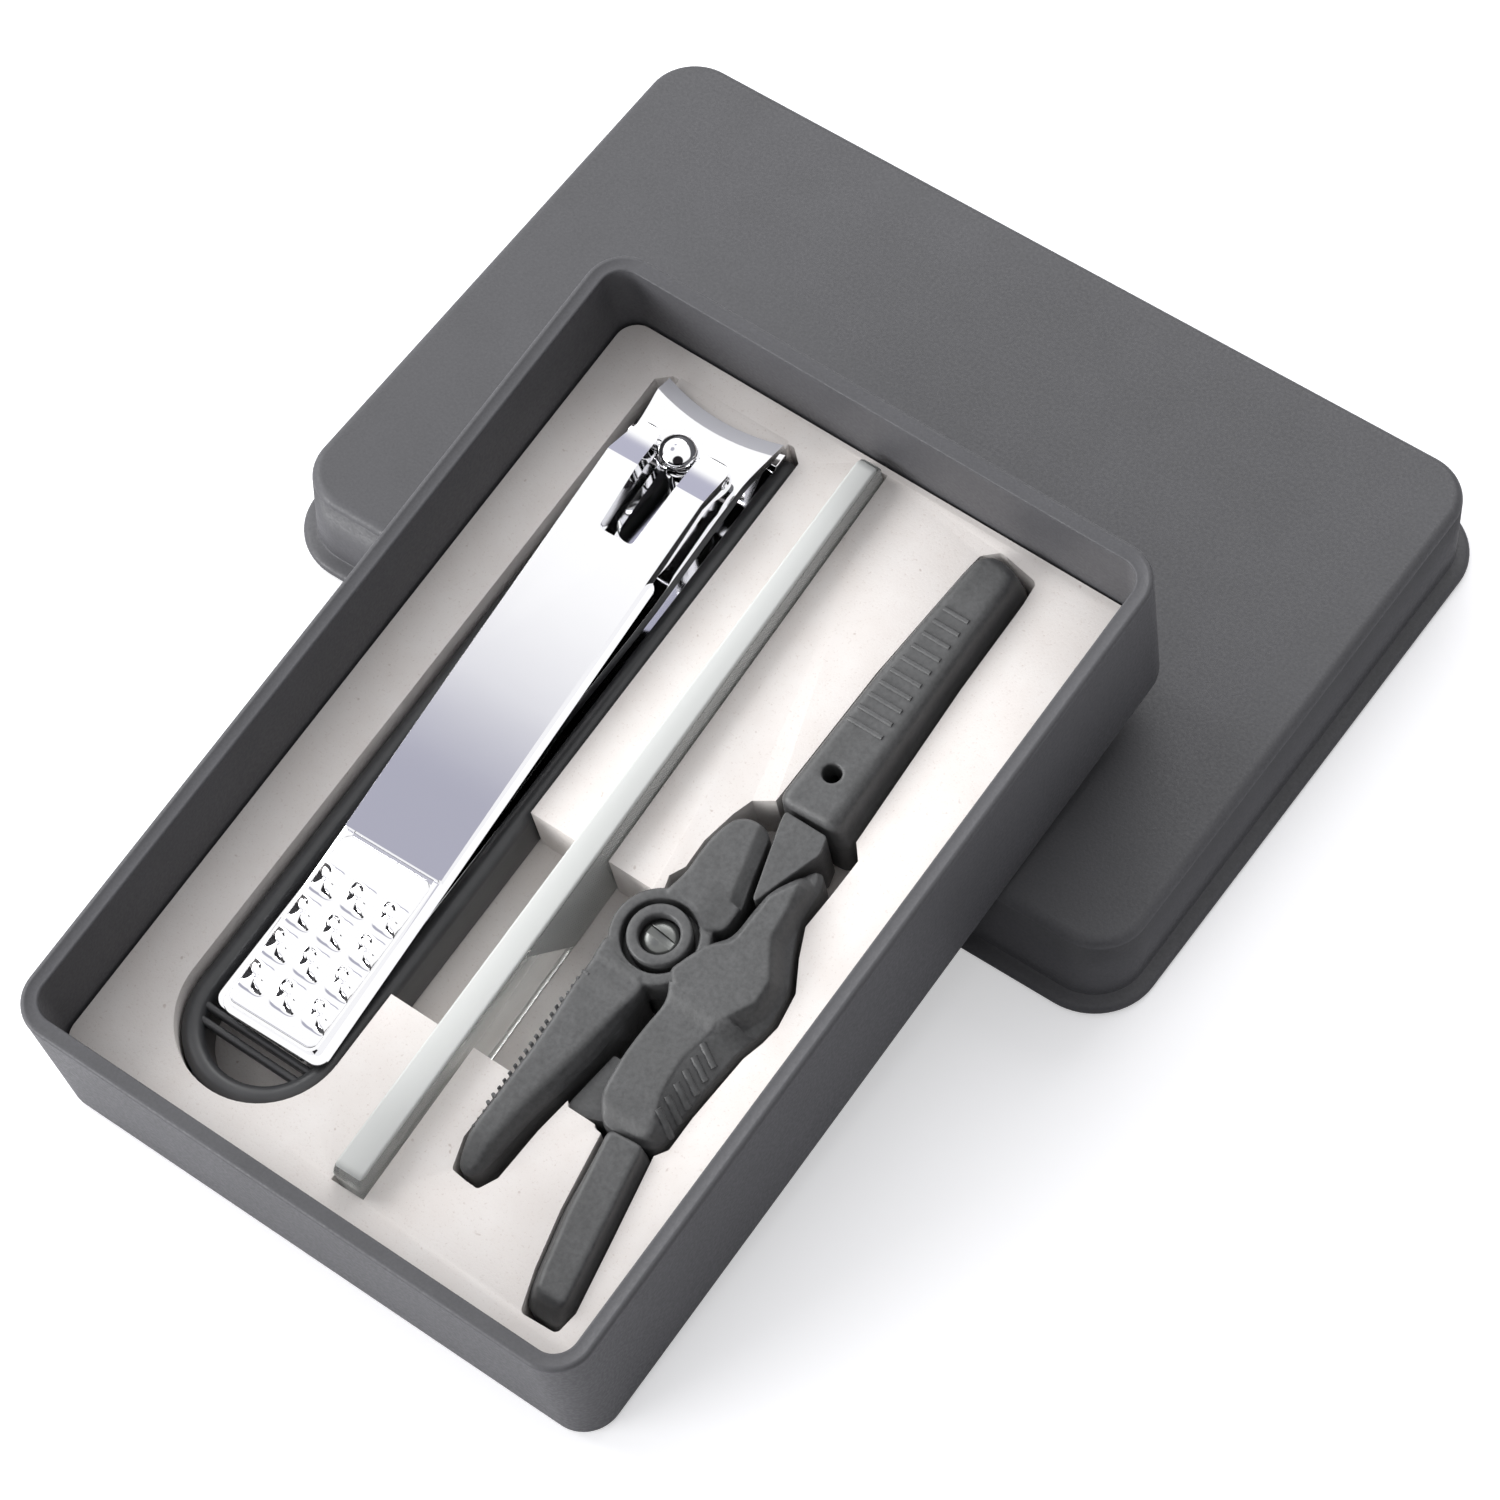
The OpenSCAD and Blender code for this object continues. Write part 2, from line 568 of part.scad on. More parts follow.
module nipper_stem() {
    color(tool_grey) at_nipper() difference() {
        union() {
            translate([0, 0, 0.8]) linear_extrude(nip_top - 1) intersection() {
                polygon(stem_plan);
                square([20, 19.3]);
            }
            translate([0, 0, 3.6]) linear_extrude(3.8) intersection() {
                polygon(stem_plan);
                translate([0, 19]) square([20, 40]);
            }
        }
        translate([4.7, 25.4, 0]) cylinder(h = 20, r = lanyard_r + clear, $fn = 48);
    }
}

module nipper_lever() {
    color(tool_grey) at_nipper() difference() {
        union() {
            difference() {
                union() {
                    stepped(jaw_rows, nip_foot + 0.1, nip_top, nip_knee + 1);
                    stepped(grip_rows, nip_foot + 0.1, nip_top, nip_knee + 1);
                }
                translate([0, 0, -5]) cylinder(h = lever_z + 5.2, r = collar_r + 0.25, $fn = 96);
                translate([0, 0, -5]) cylinder(h = 30, r = collar_r - 0.6, $fn = 96);
            }
            translate([0, 0, lever_z]) cylinder(h = hub_top - lever_z, r = collar_r, $fn = 96);
            difference() {
                translate([0, 0, lever_z]) cylinder(h = nip_top - 0.3 - lever_z, r = collar_r, $fn = 96);
                translate([0, 0, hub_top]) linear_extrude(10)
                    polygon([[1.2, 3.6], [12, 6], [12, -12], [-0.4, -12], [-1, -3.8], [0, 0]]);
            }
        }
        translate([0, 0, -5]) cylinder(h = 20, r = shank_r + run_gap, $fn = 96);
        translate([0, 0, hub_top]) cylinder(h = 10, r = bush_r + 0.7, $fn = 96);
    }
}

module nipper_bush() {
    color(tool_grey) at_nipper() difference() {
        union() {
            translate([0, 0, hub_top + 0.2]) cylinder(h = nip_top - hub_top, r = bush_r, $fn = 96);
            translate([0, 0, nip_foot + 0.5]) cylinder(h = nip_top - 1, r = shank_r, $fn = 96);
        }
        cylinder(h = 20, r = screw_seat_r - 0.9, $fn = 48);
        translate([0, 0, nip_top - 1.6]) cylinder(h = 10, r = screw_seat_r, $fn = 64);
    }
}

module nipper_washer() {
    color(chrome_white) at_nipper() translate([0, 0, layer_z + 0.05]) difference() {
        cylinder(h = washer_t, r = collar_r - 0.8, $fn = 96);
        translate([0, 0, -1]) cylinder(h = 3, r = shank_r + 0.1, $fn = 96);
    }
}

module nipper_screw() {
    seat = nip_top - 1.6;
    color(chrome_white) at_nipper() difference() {
        union() {
            translate([0, 0, nip_foot + 1]) cylinder(h = seat - nip_foot - 1 + 0.2, r = screw_seat_r - 1, $fn = 48);
            translate([0, 0, seat + 0.05]) cylinder(h = 0.6, r = screw_seat_r - 0.15, $fn = 64);
            translate([0, 0, seat + 0.6]) cylinder(h = 0.4, r1 = screw_seat_r - 0.15, r2 = screw_seat_r - 0.8, $fn = 64);
        }
        rotate([0, 0, -20]) translate([-3, -0.45, seat + 0.45]) cube([6, 0.9, 2]);
    }
}

module nipper_spring() {
    steps = 24 * coil_turns;
    rise = coil_turns * (wire_d + 0.06);
    sides = 8;
    color(chrome_white) at_nipper() translate([2.95, -10, 4]) rotate([0, 90, 0]) polyhedron(
        points = [for (i = [0:steps]) let (a = 360 * coil_turns * i / steps)
            for (k = [0:sides - 1]) let (b = 360 * k / sides, q = coil_r + wire_d / 2 * cos(b))
                [q * cos(a), q * sin(a), rise * i / steps + wire_d / 2 * sin(b)]],
        faces = concat(
            [[for (k = [sides - 1:-1:0]) k]], [[for (k = [0:sides - 1]) steps * sides + k]],
            [for (i = [0:steps - 1]) for (k = [0:sides - 1])
                let (a = i * sides + k, b = i * sides + (k + 1) % sides)
                    each [[a, b, b + sides], [a, b + sides, a + sides]]]));
}

module nipper_sheath() {
    color(tool_grey) at_nipper() {
        difference() {
            moulded(sheath_rows, nip_foot, nip_foot + sheath_t, nip_knee, 0.4);
            translate([3.7, 19, 3.3]) cube([3.6, 27.3, 4.4]);
            translate([3.7, 40, 3.3]) cube([3.6, 9.4, 4.4]);
            translate([4.7, 25.4, -5]) cylinder(h = 30, r = lanyard_r, $fn = 48);
        }
        for (k = [0:9]) translate([2.6 + 0.13 * k, 31.4 + 1.82 * k, nip_foot + sheath_t - 0.2])
            cube([4.6 - 0.14 * k, 0.7, rib_h + 0.2]);
    }
}

module nipper_tail() {
    color(tool_grey) at_nipper() moulded(tail_rows, nip_foot, nip_top - 1, nip_knee - 0.6, 0.4);
}

lid();
tray();
foam_insert();
foam_base();
clipper_housing();
clipper_lower_arm();
clipper_upper_arm();
clipper_rear_rivet();
clipper_post();
clipper_lever();
clipper_lever_pin();
glass_file();
nipper_body();
nipper_stem();
nipper_lever();
nipper_bush();
nipper_washer();
nipper_screw();
nipper_spring();
nipper_sheath();
nipper_tail();
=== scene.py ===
# %% [markdown]
# # A manicure set in its case
# The case is an open tray that leans on its own lid. A foam insert in the tray holds a chromed nail
# clipper, a glass nail file and a small sprung nipper of dark plastic. The solid model comes in first and
# gives every piece its place and its joint; the cells below then build the surfaces that the eye sees round
# it.

# %% Load the solid model
import bmesh
import bpy
import json
import math
from mathutils import Matrix, Vector


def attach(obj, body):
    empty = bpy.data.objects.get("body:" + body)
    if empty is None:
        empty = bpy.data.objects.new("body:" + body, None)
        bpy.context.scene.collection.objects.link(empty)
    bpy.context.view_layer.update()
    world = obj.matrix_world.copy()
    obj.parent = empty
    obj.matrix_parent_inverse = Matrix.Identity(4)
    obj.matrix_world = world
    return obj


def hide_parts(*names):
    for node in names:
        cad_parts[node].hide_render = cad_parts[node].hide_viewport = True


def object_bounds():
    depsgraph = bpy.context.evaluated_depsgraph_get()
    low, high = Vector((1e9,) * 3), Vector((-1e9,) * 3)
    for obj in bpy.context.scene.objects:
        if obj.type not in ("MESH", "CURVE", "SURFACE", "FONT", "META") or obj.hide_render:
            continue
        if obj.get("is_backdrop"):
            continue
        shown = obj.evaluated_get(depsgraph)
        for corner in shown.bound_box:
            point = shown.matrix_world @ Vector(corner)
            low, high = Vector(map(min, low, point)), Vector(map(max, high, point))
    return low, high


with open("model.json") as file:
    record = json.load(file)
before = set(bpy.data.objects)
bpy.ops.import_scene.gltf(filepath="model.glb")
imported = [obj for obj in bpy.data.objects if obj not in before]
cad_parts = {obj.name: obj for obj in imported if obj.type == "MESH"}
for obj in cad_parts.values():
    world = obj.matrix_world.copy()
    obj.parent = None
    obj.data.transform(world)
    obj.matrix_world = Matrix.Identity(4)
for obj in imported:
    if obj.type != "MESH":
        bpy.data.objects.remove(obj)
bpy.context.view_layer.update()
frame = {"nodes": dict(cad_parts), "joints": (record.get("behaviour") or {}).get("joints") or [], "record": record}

MM = 0.001

# %% [markdown]
# Everything in the tray is drawn level, in millimetres, with the tray's length along Y. One matrix then
# leans it the way the tray leans. The matrix is read from the solid model's own joints and rest face, so
# that the pieces here always follow it.

# %% Placement of the leaning tray
joints = {j["name"]: j for j in frame["joints"]}
rests = {m["name"]: m for m in frame["record"]["mounts"]}
up = Vector(joints["clipper_lift"]["axis"]).normalized()
across = Vector(joints["clipper_bite"]["axis"]).normalized()
along = up.cross(across)
pivot = Vector(joints["nipper_squeeze"]["pos_m"])
# Millimetres in the tray's own frame, and degrees.
FOAM_FLOOR = 3.0
PIVOT_X, PIVOT_Y, PIVOT_UP = 13.1, -7.2, 8.0
PIN_UP, LEVER_TURN, LEVER_TILT = 13.25, 1.5, 3.9
corner = pivot - MM * (PIVOT_X * across + PIVOT_Y * along + PIVOT_UP * up)
TRAY = Matrix((
    (across.x * MM, along.x * MM, up.x * MM, corner.x),
    (across.y * MM, along.y * MM, up.y * MM, corner.y),
    (across.z * MM, along.z * MM, up.z * MM, corner.z),
    (0, 0, 0, 1)))
CLIPPER = TRAY @ Matrix.Translation((-18, 39.4, FOAM_FLOOR))
NIPPER = TRAY @ Matrix.Translation((PIVOT_X, PIVOT_Y, FOAM_FLOOR))
LEVER = (CLIPPER @ Matrix.Translation((0, 0, PIN_UP)) @ Matrix.Rotation(math.radians(LEVER_TURN), 4, "Z")
         @ Matrix.Rotation(math.radians(LEVER_TILT), 4, "X"))
FILE = TRAY @ Matrix.Translation((1.53, -48, FOAM_FLOOR + 0.1)) @ Matrix.Rotation(math.radians(1.075), 4, "Z")
lid_y = rests["lid_rest"]["pos_m"][1] / MM
LID = Matrix.Diagonal((MM, MM, MM, 1)) @ Matrix.Translation((0, lid_y, 0))
FLAT = Matrix.Diagonal((MM, MM, MM, 1))
print("tray leans by", round(math.degrees(math.acos(up.z)), 2), "degrees; lid middle at y", round(lid_y, 2))

# %% [markdown]
# A mesh needs three things here: points, faces and a body to ride on. The first helper takes points in
# millimetres and places them with one of the matrices above. A piece that needs cutting or remeshing is
# made level first, in the FLAT frame, and is placed when its shape is done. The position is baked into the
# mesh both times, so that the object itself stays at the origin.

# %% Helpers that make a piece
collection = bpy.context.scene.collection


def piece(name, points, faces, place, smooth=True):
    mesh = bpy.data.meshes.new(name)
    mesh.from_pydata([place @ Vector(p) for p in points], [], faces)
    mesh.validate()
    mesh.polygons.foreach_set("use_smooth", [smooth] * len(mesh.polygons))
    made = bpy.data.objects.new(name, mesh)
    collection.objects.link(made)
    return made


def placed(made, place):
    """Moves a level piece to its place."""
    made.data.transform(place @ FLAT.inverted())
    return made


def applied(made):
    """Turns an object's modifiers into plain mesh."""
    graph = bpy.context.evaluated_depsgraph_get()
    mesh = bpy.data.meshes.new_from_object(made.evaluated_get(graph))
    made.modifiers.clear()
    old = made.data
    made.data = mesh
    bpy.data.meshes.remove(old)
    return made


# %% [markdown]
# The next helpers change a mesh that is there already: they weld it, round its edges, cut it, or put
# several meshes into one object.

# %% Helpers that change a mesh
def edited(made, *steps):
    """Opens a mesh for bmesh, lets each step change it and writes it back."""
    b = bmesh.new()
    b.from_mesh(made.data)
    for step in steps:
        step(b)
    b.to_mesh(made.data)
    b.free()
    return made


def cleaned(made, dist=2e-6):
    """Welds points that coincide and drops faces without area, after a cut."""
    return edited(
        made,
        lambda b: bmesh.ops.remove_doubles(b, verts=b.verts, dist=dist),
        lambda b: bmesh.ops.dissolve_degenerate(b, edges=b.edges, dist=dist),
        lambda b: bmesh.ops.dissolve_limit(b, angle_limit=math.radians(0.4), verts=b.verts, edges=b.edges))


def facing_out(b):
    bmesh.ops.recalc_face_normals(b, faces=b.faces)


def shaded(made, crease=None):
    """Shades a mesh smoothly, but for edges sharper than the crease in degrees."""
    made.data.polygons.foreach_set("use_smooth", [True] * len(made.data.polygons))
    if crease:
        made.data.set_sharp_from_angle(angle=math.radians(crease))
    return made


def removed(made):
    mesh = made.data
    bpy.data.objects.remove(made)
    bpy.data.meshes.remove(mesh)


def bevelled(made, width, steps=2, angle=32, crease=40):
    """Rounds the edges that are sharper than the angle, by a width in millimetres.

    Edges sharper than the crease stay sharp in the shading, which keeps a polished flat face truly flat."""
    mod = made.modifiers.new("rounding", "BEVEL")
    mod.width = width * MM
    mod.segments = steps
    mod.limit_method = "ANGLE"
    mod.angle_limit = math.radians(angle)
    mod.miter_outer = "MITER_ARC"
    return shaded(applied(made), crease)


def cut(made, tool, operation="DIFFERENCE"):
    """Cuts one object with another, or joins them, and removes the tool."""
    mod = made.modifiers.new("cut", "BOOLEAN")
    mod.operation = operation
    mod.solver = "EXACT"
    mod.object = tool
    applied(made)
    removed(tool)
    return made


def joined(name, *parts):
    """Puts several meshes into one object without cutting them."""
    b = bmesh.new()
    for part in parts:
        b.from_mesh(part.data)
    mesh = bpy.data.meshes.new(name)
    b.to_mesh(mesh)
    b.free()
    for part in parts:
        removed(part)
    made = bpy.data.objects.new(name, mesh)
    collection.objects.link(made)
    return made


# %% [markdown]
# A piece either starts from a copy of one of the solid model's nodes or is drawn anew. In the end each is
# given its finish and the body that carries it, and the nodes that it stands for are hidden.

# %% Helpers that start and end a piece
def copied(source, name):
    """A welded copy of one of the solid model's nodes, with its flat faces made whole."""
    mesh = frame["nodes"][source].data.copy()
    mesh.name = name
    mesh.materials.clear()
    made = bpy.data.objects.new(name, mesh)
    collection.objects.link(made)
    return cleaned(made)


def finished(made, material, body, slot, *nodes):
    """Gives a piece its finish and its body, and hides the nodes that it stands for. The slot is not used."""
    made.data.materials.clear()
    made.data.materials.append(material)
    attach(made, body)
    if nodes:
        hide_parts(*nodes)
    print(made.name, len(made.data.polygons), "faces")
    return made


# %% [markdown]
# ## Shapes
# Nearly every piece of the set is one of four shapes: a skin through rings, a round piece turned on a
# lathe, a flat outline given a height, or a pressed sheet. A pressed sheet is drawn twice, from the side
# and from above, and is what both drawings have in common.

# %% Helpers for shapes
CORNER_STEPS = 16


def ring(width, length, radius, z):
    """One rounded rectangle, anticlockwise seen from above."""
    points = []
    for cx, cy, start in ((1, 1, 0), (-1, 1, 90), (-1, -1, 180), (1, -1, 270)):
        for k in range(CORNER_STEPS + 1):
            a = math.radians(start + 90 * k / CORNER_STEPS)
            points.append((cx * (width / 2 - radius) + radius * math.cos(a),
                           cy * (length / 2 - radius) + radius * math.sin(a), z))
    return points


def lofted(name, rings, place, flat_ends=True):
    """Joins rings of equal count with a skin and closes both ends."""
    n = len(rings[0])
    points = [p for r in rings for p in r]
    faces = []
    for k in range(len(rings) - 1):
        for i in range(n):
            j = (i + 1) % n
            faces.append((k * n + i, k * n + j, (k + 1) * n + j, (k + 1) * n + i))
    faces.append(tuple(reversed(range(n))))
    faces.append(tuple((len(rings) - 1) * n + i for i in range(n)))
    made = piece(name, points, faces, place)
    if flat_ends:
        for face in made.data.polygons[-2:]:
            face.use_smooth = False
    return made


def prism(name, outline, z0, z1):
    return lofted(name, [[(p[0], p[1], z) for p in outline] for z in (z0, z1)], FLAT)


def slab(name, x, y, z):
    """A block between two limits on each axis."""
    return prism(name, [(x[0], y[0]), (x[1], y[0]), (x[1], y[1]), (x[0], y[1])], z[0], z[1])


def circle(x, y, r, steps=64):
    return [(x + r * math.cos(2 * math.pi * k / steps), y + r * math.sin(2 * math.pi * k / steps))
            for k in range(steps)]


def drilled(made, radius, z0, z1, x=0, y=0, steps=96):
    """Cuts an upright round hole."""
    return cut(made, prism("hole", circle(x, y, radius, steps), z0, z1))


def turned(name, profile, x=0, y=0, steps=72):
    """A round piece from [radius, height] points, bottom first; its ends lie on the axis."""
    return lofted(name, [[(px, py, z) for px, py in circle(x, y, max(r, 1e-4), steps)] for r, z in profile],
                  FLAT, flat_ends=False)


def rounded_rows(rows, reach, steps=5):
    """Rounds every corner of an outline within a reach of it. Rows may carry more columns than x and y."""
    made = []
    for i, b in enumerate(rows):
        a, c = rows[i - 1], rows[(i + 1) % len(rows)]
        near = min(reach, 0.46 * math.dist(a[:2], b[:2])) / math.dist(a[:2], b[:2])
        far = min(reach, 0.46 * math.dist(b[:2], c[:2])) / math.dist(b[:2], c[:2])
        p = [v + (w - v) * near for v, w in zip(b, a)]
        q = [v + (w - v) * far for v, w in zip(b, c)]
        for k in range(steps + 1):
            u = k / steps
            made.append([(1 - u) ** 2 * pv + 2 * u * (1 - u) * bv + u * u * qv
                         for pv, bv, qv in zip(p, b, q)])
    return made


def inset(points, d):
    """Moves an anticlockwise outline inwards."""
    made = []
    for i, p in enumerate(points):
        a, c = points[i - 1], points[(i + 1) % len(points)]
        dx, dy = c[0] - a[0], c[1] - a[1]
        size = math.hypot(dx, dy) or 1
        made.append((p[0] - dy / size * d, p[1] + dx / size * d))
    return made


def pressed(name, side, plan):
    """What a side view [y, z] and a plan view [x, y] have in common."""
    wide = 40
    body = prism(name, plan, -30, 40)
    n = len(side)
    points = [(x, p[0], p[1]) for x in (-wide, wide) for p in side]
    faces = [(i, (i + 1) % n, n + (i + 1) % n, n + i) for i in range(n)]
    faces += [tuple(reversed(range(n))), tuple(n + i for i in range(n))]
    return cut(body, edited(piece("side_view", points, faces, FLAT), facing_out), "INTERSECT")


print("shape helpers ready")

# %% [markdown]
# ## Finishes
# Each finish is a small tree of nodes. The helpers make the tree, a noise that is measured in millimetres
# (an object's own coordinates are in metres), a band of colours and a bump.

# %% Helpers for finishes
def node(tree, kind, *links, **settings):
    """Adds a node, sets its options and links sockets given as (input, source or value)."""
    made = tree.nodes.new(kind)
    for key, value in settings.items():
        setattr(made, key, value)
    for name, source in links:
        socket = made.inputs[name]
        if isinstance(source, bpy.types.NodeSocket):
            tree.links.new(source, socket)
        else:
            socket.default_value = source
    return made


def math_node(tree, operation, *values):
    """One step of arithmetic; gives the socket with its result."""
    return node(tree, "ShaderNodeMath", *enumerate(values), operation=operation).outputs[0]


def finish(name, colour, roughness, metallic=0.0):
    material = bpy.data.materials.new(name)
    material.use_nodes = True
    shader = material.node_tree.nodes["Principled BSDF"]
    shader.inputs["Base Color"].default_value = (*colour, 1)
    shader.inputs["Roughness"].default_value = roughness
    shader.inputs["Metallic"].default_value = metallic
    return material, material.node_tree, shader


def noise(tree, size_mm, detail=3.0, rough=0.55):
    """A cloud whose lumps are about size_mm across."""
    where = node(tree, "ShaderNodeTexCoord").outputs["Object"]
    return node(tree, "ShaderNodeTexNoise", ("Vector", where), ("Scale", 1000 / size_mm), ("Detail", detail),
                ("Roughness", rough)).outputs["Fac"]


def ramp(tree, value, *stops):
    made = node(tree, "ShaderNodeValToRGB", ("Fac", value))
    band = made.color_ramp
    while len(band.elements) < len(stops):
        band.elements.new(0.5)
    for element, (place, colour) in zip(band.elements, stops):
        element.position = place
        element.color = (*colour, 1) if isinstance(colour, tuple) else (colour, colour, colour, 1)
    return made.outputs["Color"]


def bump(tree, shader, height, depth_mm, strength=1.0):
    made = node(tree, "ShaderNodeBump", ("Strength", strength), ("Distance", depth_mm * MM), ("Height", height))
    tree.links.new(made.outputs["Normal"], shader.inputs["Normal"])


def times(tree, a, b):
    """One colour multiplied by another."""
    return node(tree, "ShaderNodeMix", ("Factor", 1.0), ("A", a), ("B", b), data_type="RGBA",
                blend_type="MULTIPLY").outputs["Result"]


# %% [markdown]
# The case is moulded in a dark grey plastic with a fine spark-eroded grain. A noise of two sizes gives the
# grain its bump and lets the colour drift a little, so that the broad lid doesn't look painted. The nipper
# is of a harder, glass-filled plastic: its grain is coarser, and its skin shines a little where it was
# polished.

# %% Plastics
case_plastic, tree, shader = finish("case_plastic", (0.066, 0.066, 0.071), 0.5)
shader.inputs["Specular IOR Level"].default_value = 0.4
drift = noise(tree, 9, 4)
fleck = noise(tree, 0.3, 2)
tree.links.new(times(tree, ramp(tree, drift, (0.3, (0.072, 0.072, 0.078)), (0.7, (0.081, 0.081, 0.088))),
                     ramp(tree, fleck, (0.3, 0.86), (0.7, 1.0))), shader.inputs["Base Color"])
grain = noise(tree, 0.42, 2)
bump(tree, shader, grain, 0.04, 0.55)
tree.links.new(ramp(tree, grain, (0.35, 0.44), (0.65, 0.58)), shader.inputs["Roughness"])

housing_plastic, tree, shader = finish("housing_plastic", (0.05, 0.051, 0.054), 0.38)
grain = noise(tree, 0.5, 2)
tree.links.new(ramp(tree, noise(tree, 3, 3), (0.3, (0.045, 0.046, 0.049)), (0.7, (0.056, 0.057, 0.06))),
               shader.inputs["Base Color"])
bump(tree, shader, grain, 0.03, 0.4)

tool_plastic, tree, shader = finish("tool_plastic", (0.1, 0.1, 0.102), 0.45)
grain = noise(tree, 0.55, 3, 0.6)
speck = noise(tree, 0.8, 2, 0.5)
tint = ramp(tree, noise(tree, 4, 3), (0.3, (0.072, 0.073, 0.074)), (0.7, (0.09, 0.091, 0.093)))
tree.links.new(times(tree, tint, ramp(tree, grain, (0.32, 0.78), (0.68, 1.08))), shader.inputs["Base Color"])
bump(tree, shader, speck, 0.1, 0.45)
tree.links.new(ramp(tree, grain, (0.3, 0.38), (0.7, 0.56)), shader.inputs["Roughness"])
print("plastics made")

# %% [markdown]
# The foam is closed-cell sheet: matte, slightly warm, with fine pores. A fine noise gives the pores, a few
# of them darker than the rest, and a wide noise gives the faint clouding of the sheet.

# %% Foam
foam_finish, tree, shader = finish("pale_foam", (0.84, 0.81, 0.785), 0.95)
shader.inputs["Specular IOR Level"].default_value = 0.12
cloud = noise(tree, 5, 3)
pores = noise(tree, 0.32, 4, 0.7)
dots = noise(tree, 0.9, 1, 0.4)
tint = times(tree, ramp(tree, cloud, (0.3, (0.8, 0.755, 0.725)), (0.7, (0.835, 0.8, 0.775))),
             ramp(tree, pores, (0.26, (0.82, 0.78, 0.76)), (0.42, (1.0, 1.0, 1.0))))
tree.links.new(times(tree, tint, ramp(tree, dots, (0.17, (0.78, 0.74, 0.72)), (0.24, (1.0, 1.0, 1.0)))),
               shader.inputs["Base Color"])
bump(tree, shader, pores, 0.05, 0.5)
print("foam made")

# %% [markdown]
# The clipper is steel with a polished chrome plate: almost a mirror, with a trace of waviness from
# polishing. The band that is ground along its cutting edge is matt and paler, and the nipper's dark screw
# is satin.

# %% Metals
chrome, tree, shader = finish("chrome_plate", (0.9, 0.9, 0.915), 0.05, 1.0)
bump(tree, shader, noise(tree, 7, 1), 0.015, 0.2)

steel, tree, shader = finish("satin_steel", (0.17, 0.175, 0.17), 0.3, 1.0)
bump(tree, shader, noise(tree, 0.3, 2), 0.01, 0.3)
ground_steel, tree, shader = finish("ground_steel", (0.74, 0.74, 0.79), 0.42, 0.3)
print("metals made")

# %% [markdown]
# The file is pressed glass. Its narrow top edge is ground matt, and its side faces are etched with a fine
# cross-hatch from the tip down to a slanted line; the handle end stays clear. The finish reads its place on
# the blade from an attribute that the blade carries, in millimetres along, across and up.

# %% Glass
glass, tree, shader = finish("pressed_glass", (0.9, 0.93, 0.905), 0.08)
shader.inputs["IOR"].default_value = 1.5
spot = node(tree, "ShaderNodeAttribute", attribute_name="blade_mm")
axes = node(tree, "ShaderNodeSeparateXYZ", (0, spot.outputs["Vector"]))
# The etched field begins at a slanted line and stops a little below the ground edge.
line = math_node(tree, "ADD", axes.outputs["Y"], math_node(tree, "MULTIPLY", axes.outputs["Z"], 0.62))
etched = math_node(tree, "MULTIPLY", math_node(tree, "GREATER_THAN", line, 37.5),
                   math_node(tree, "LESS_THAN", axes.outputs["Z"], 10.9))
ground = math_node(tree, "GREATER_THAN", axes.outputs["Z"], 11.2)
matt = math_node(tree, "MAXIMUM", etched, ground)
hatch = None
for slope in (1.0, -1.0):
    row = math_node(tree, "ADD", axes.outputs["Y"], math_node(tree, "MULTIPLY", axes.outputs["Z"], slope))
    wave = math_node(tree, "ABSOLUTE", math_node(tree, "SINE", math_node(tree, "MULTIPLY", row, 6.2)))
    hatch = wave if hatch is None else math_node(tree, "MULTIPLY", hatch, wave)
lines = math_node(tree, "MULTIPLY", hatch, etched)
tint = ramp(tree, matt, (0.0, (0.93, 0.945, 0.93)), (1.0, (0.70, 0.715, 0.70)))
tree.links.new(tint, shader.inputs["Base Color"])
tree.links.new(ramp(tree, matt, (0.0, 0.05), (1.0, 0.62)), shader.inputs["Roughness"])
tree.links.new(ramp(tree, matt, (0.0, 0.78), (1.0, 0.22)), shader.inputs["Transmission Weight"])
bump(tree, shader, lines, 0.12, 0.8)
print("glass made")

# %% [markdown]
# ## The case
# Lid and tray are the same kind of shape: a rectangle with round corners whose size changes with height.
# Each is lofted through such rings, outside first, then over the edge and down the inside.

# %% Lid and tray
def box_rings(width, length, radius, levels):
    """Rings from [height, how far in from the full size]."""
    return [ring(width - 2 * v, length - 2 * v, max(0.3, radius - v), z) for z, v in levels]


def arc(z, v, r, start, end, steps=6):
    """Levels along an arc with its middle at height z and inset v; angles start from straight out."""
    made = []
    for k in range(steps + 1):
        a = math.radians(start + (end - start) * k / steps)
        made.append((z + r * math.sin(a), v - r * math.cos(a)))
    return made


LID_LONG, LID_SHORT, LID_HIGH = 113.2, 78.2, 12.6
lid_levels = (
    [(11.1, 1.8), (10.5, 1.55), (0.25, 1.3), (0.05, 1.1)]
    + arc(0.8, -0.8, 0.78, -90, 78, 10)
    + [(1.72, -0.28), (1.8, 0.0), (1.86, 0.14), (2.0, 0.17), (2.16, 0.08), (2.3, 0.06)]
    + [(LID_HIGH - 1.2, 0.25)] + arc(LID_HIGH - 1.2, 0.25 + 1.2, 1.2, 0, 90, 8))
lid = lofted("lid_shell", box_rings(LID_LONG, LID_SHORT, 6.4, lid_levels), LID)
finished(lid, case_plastic, "lid", "case_plastic", "lid")

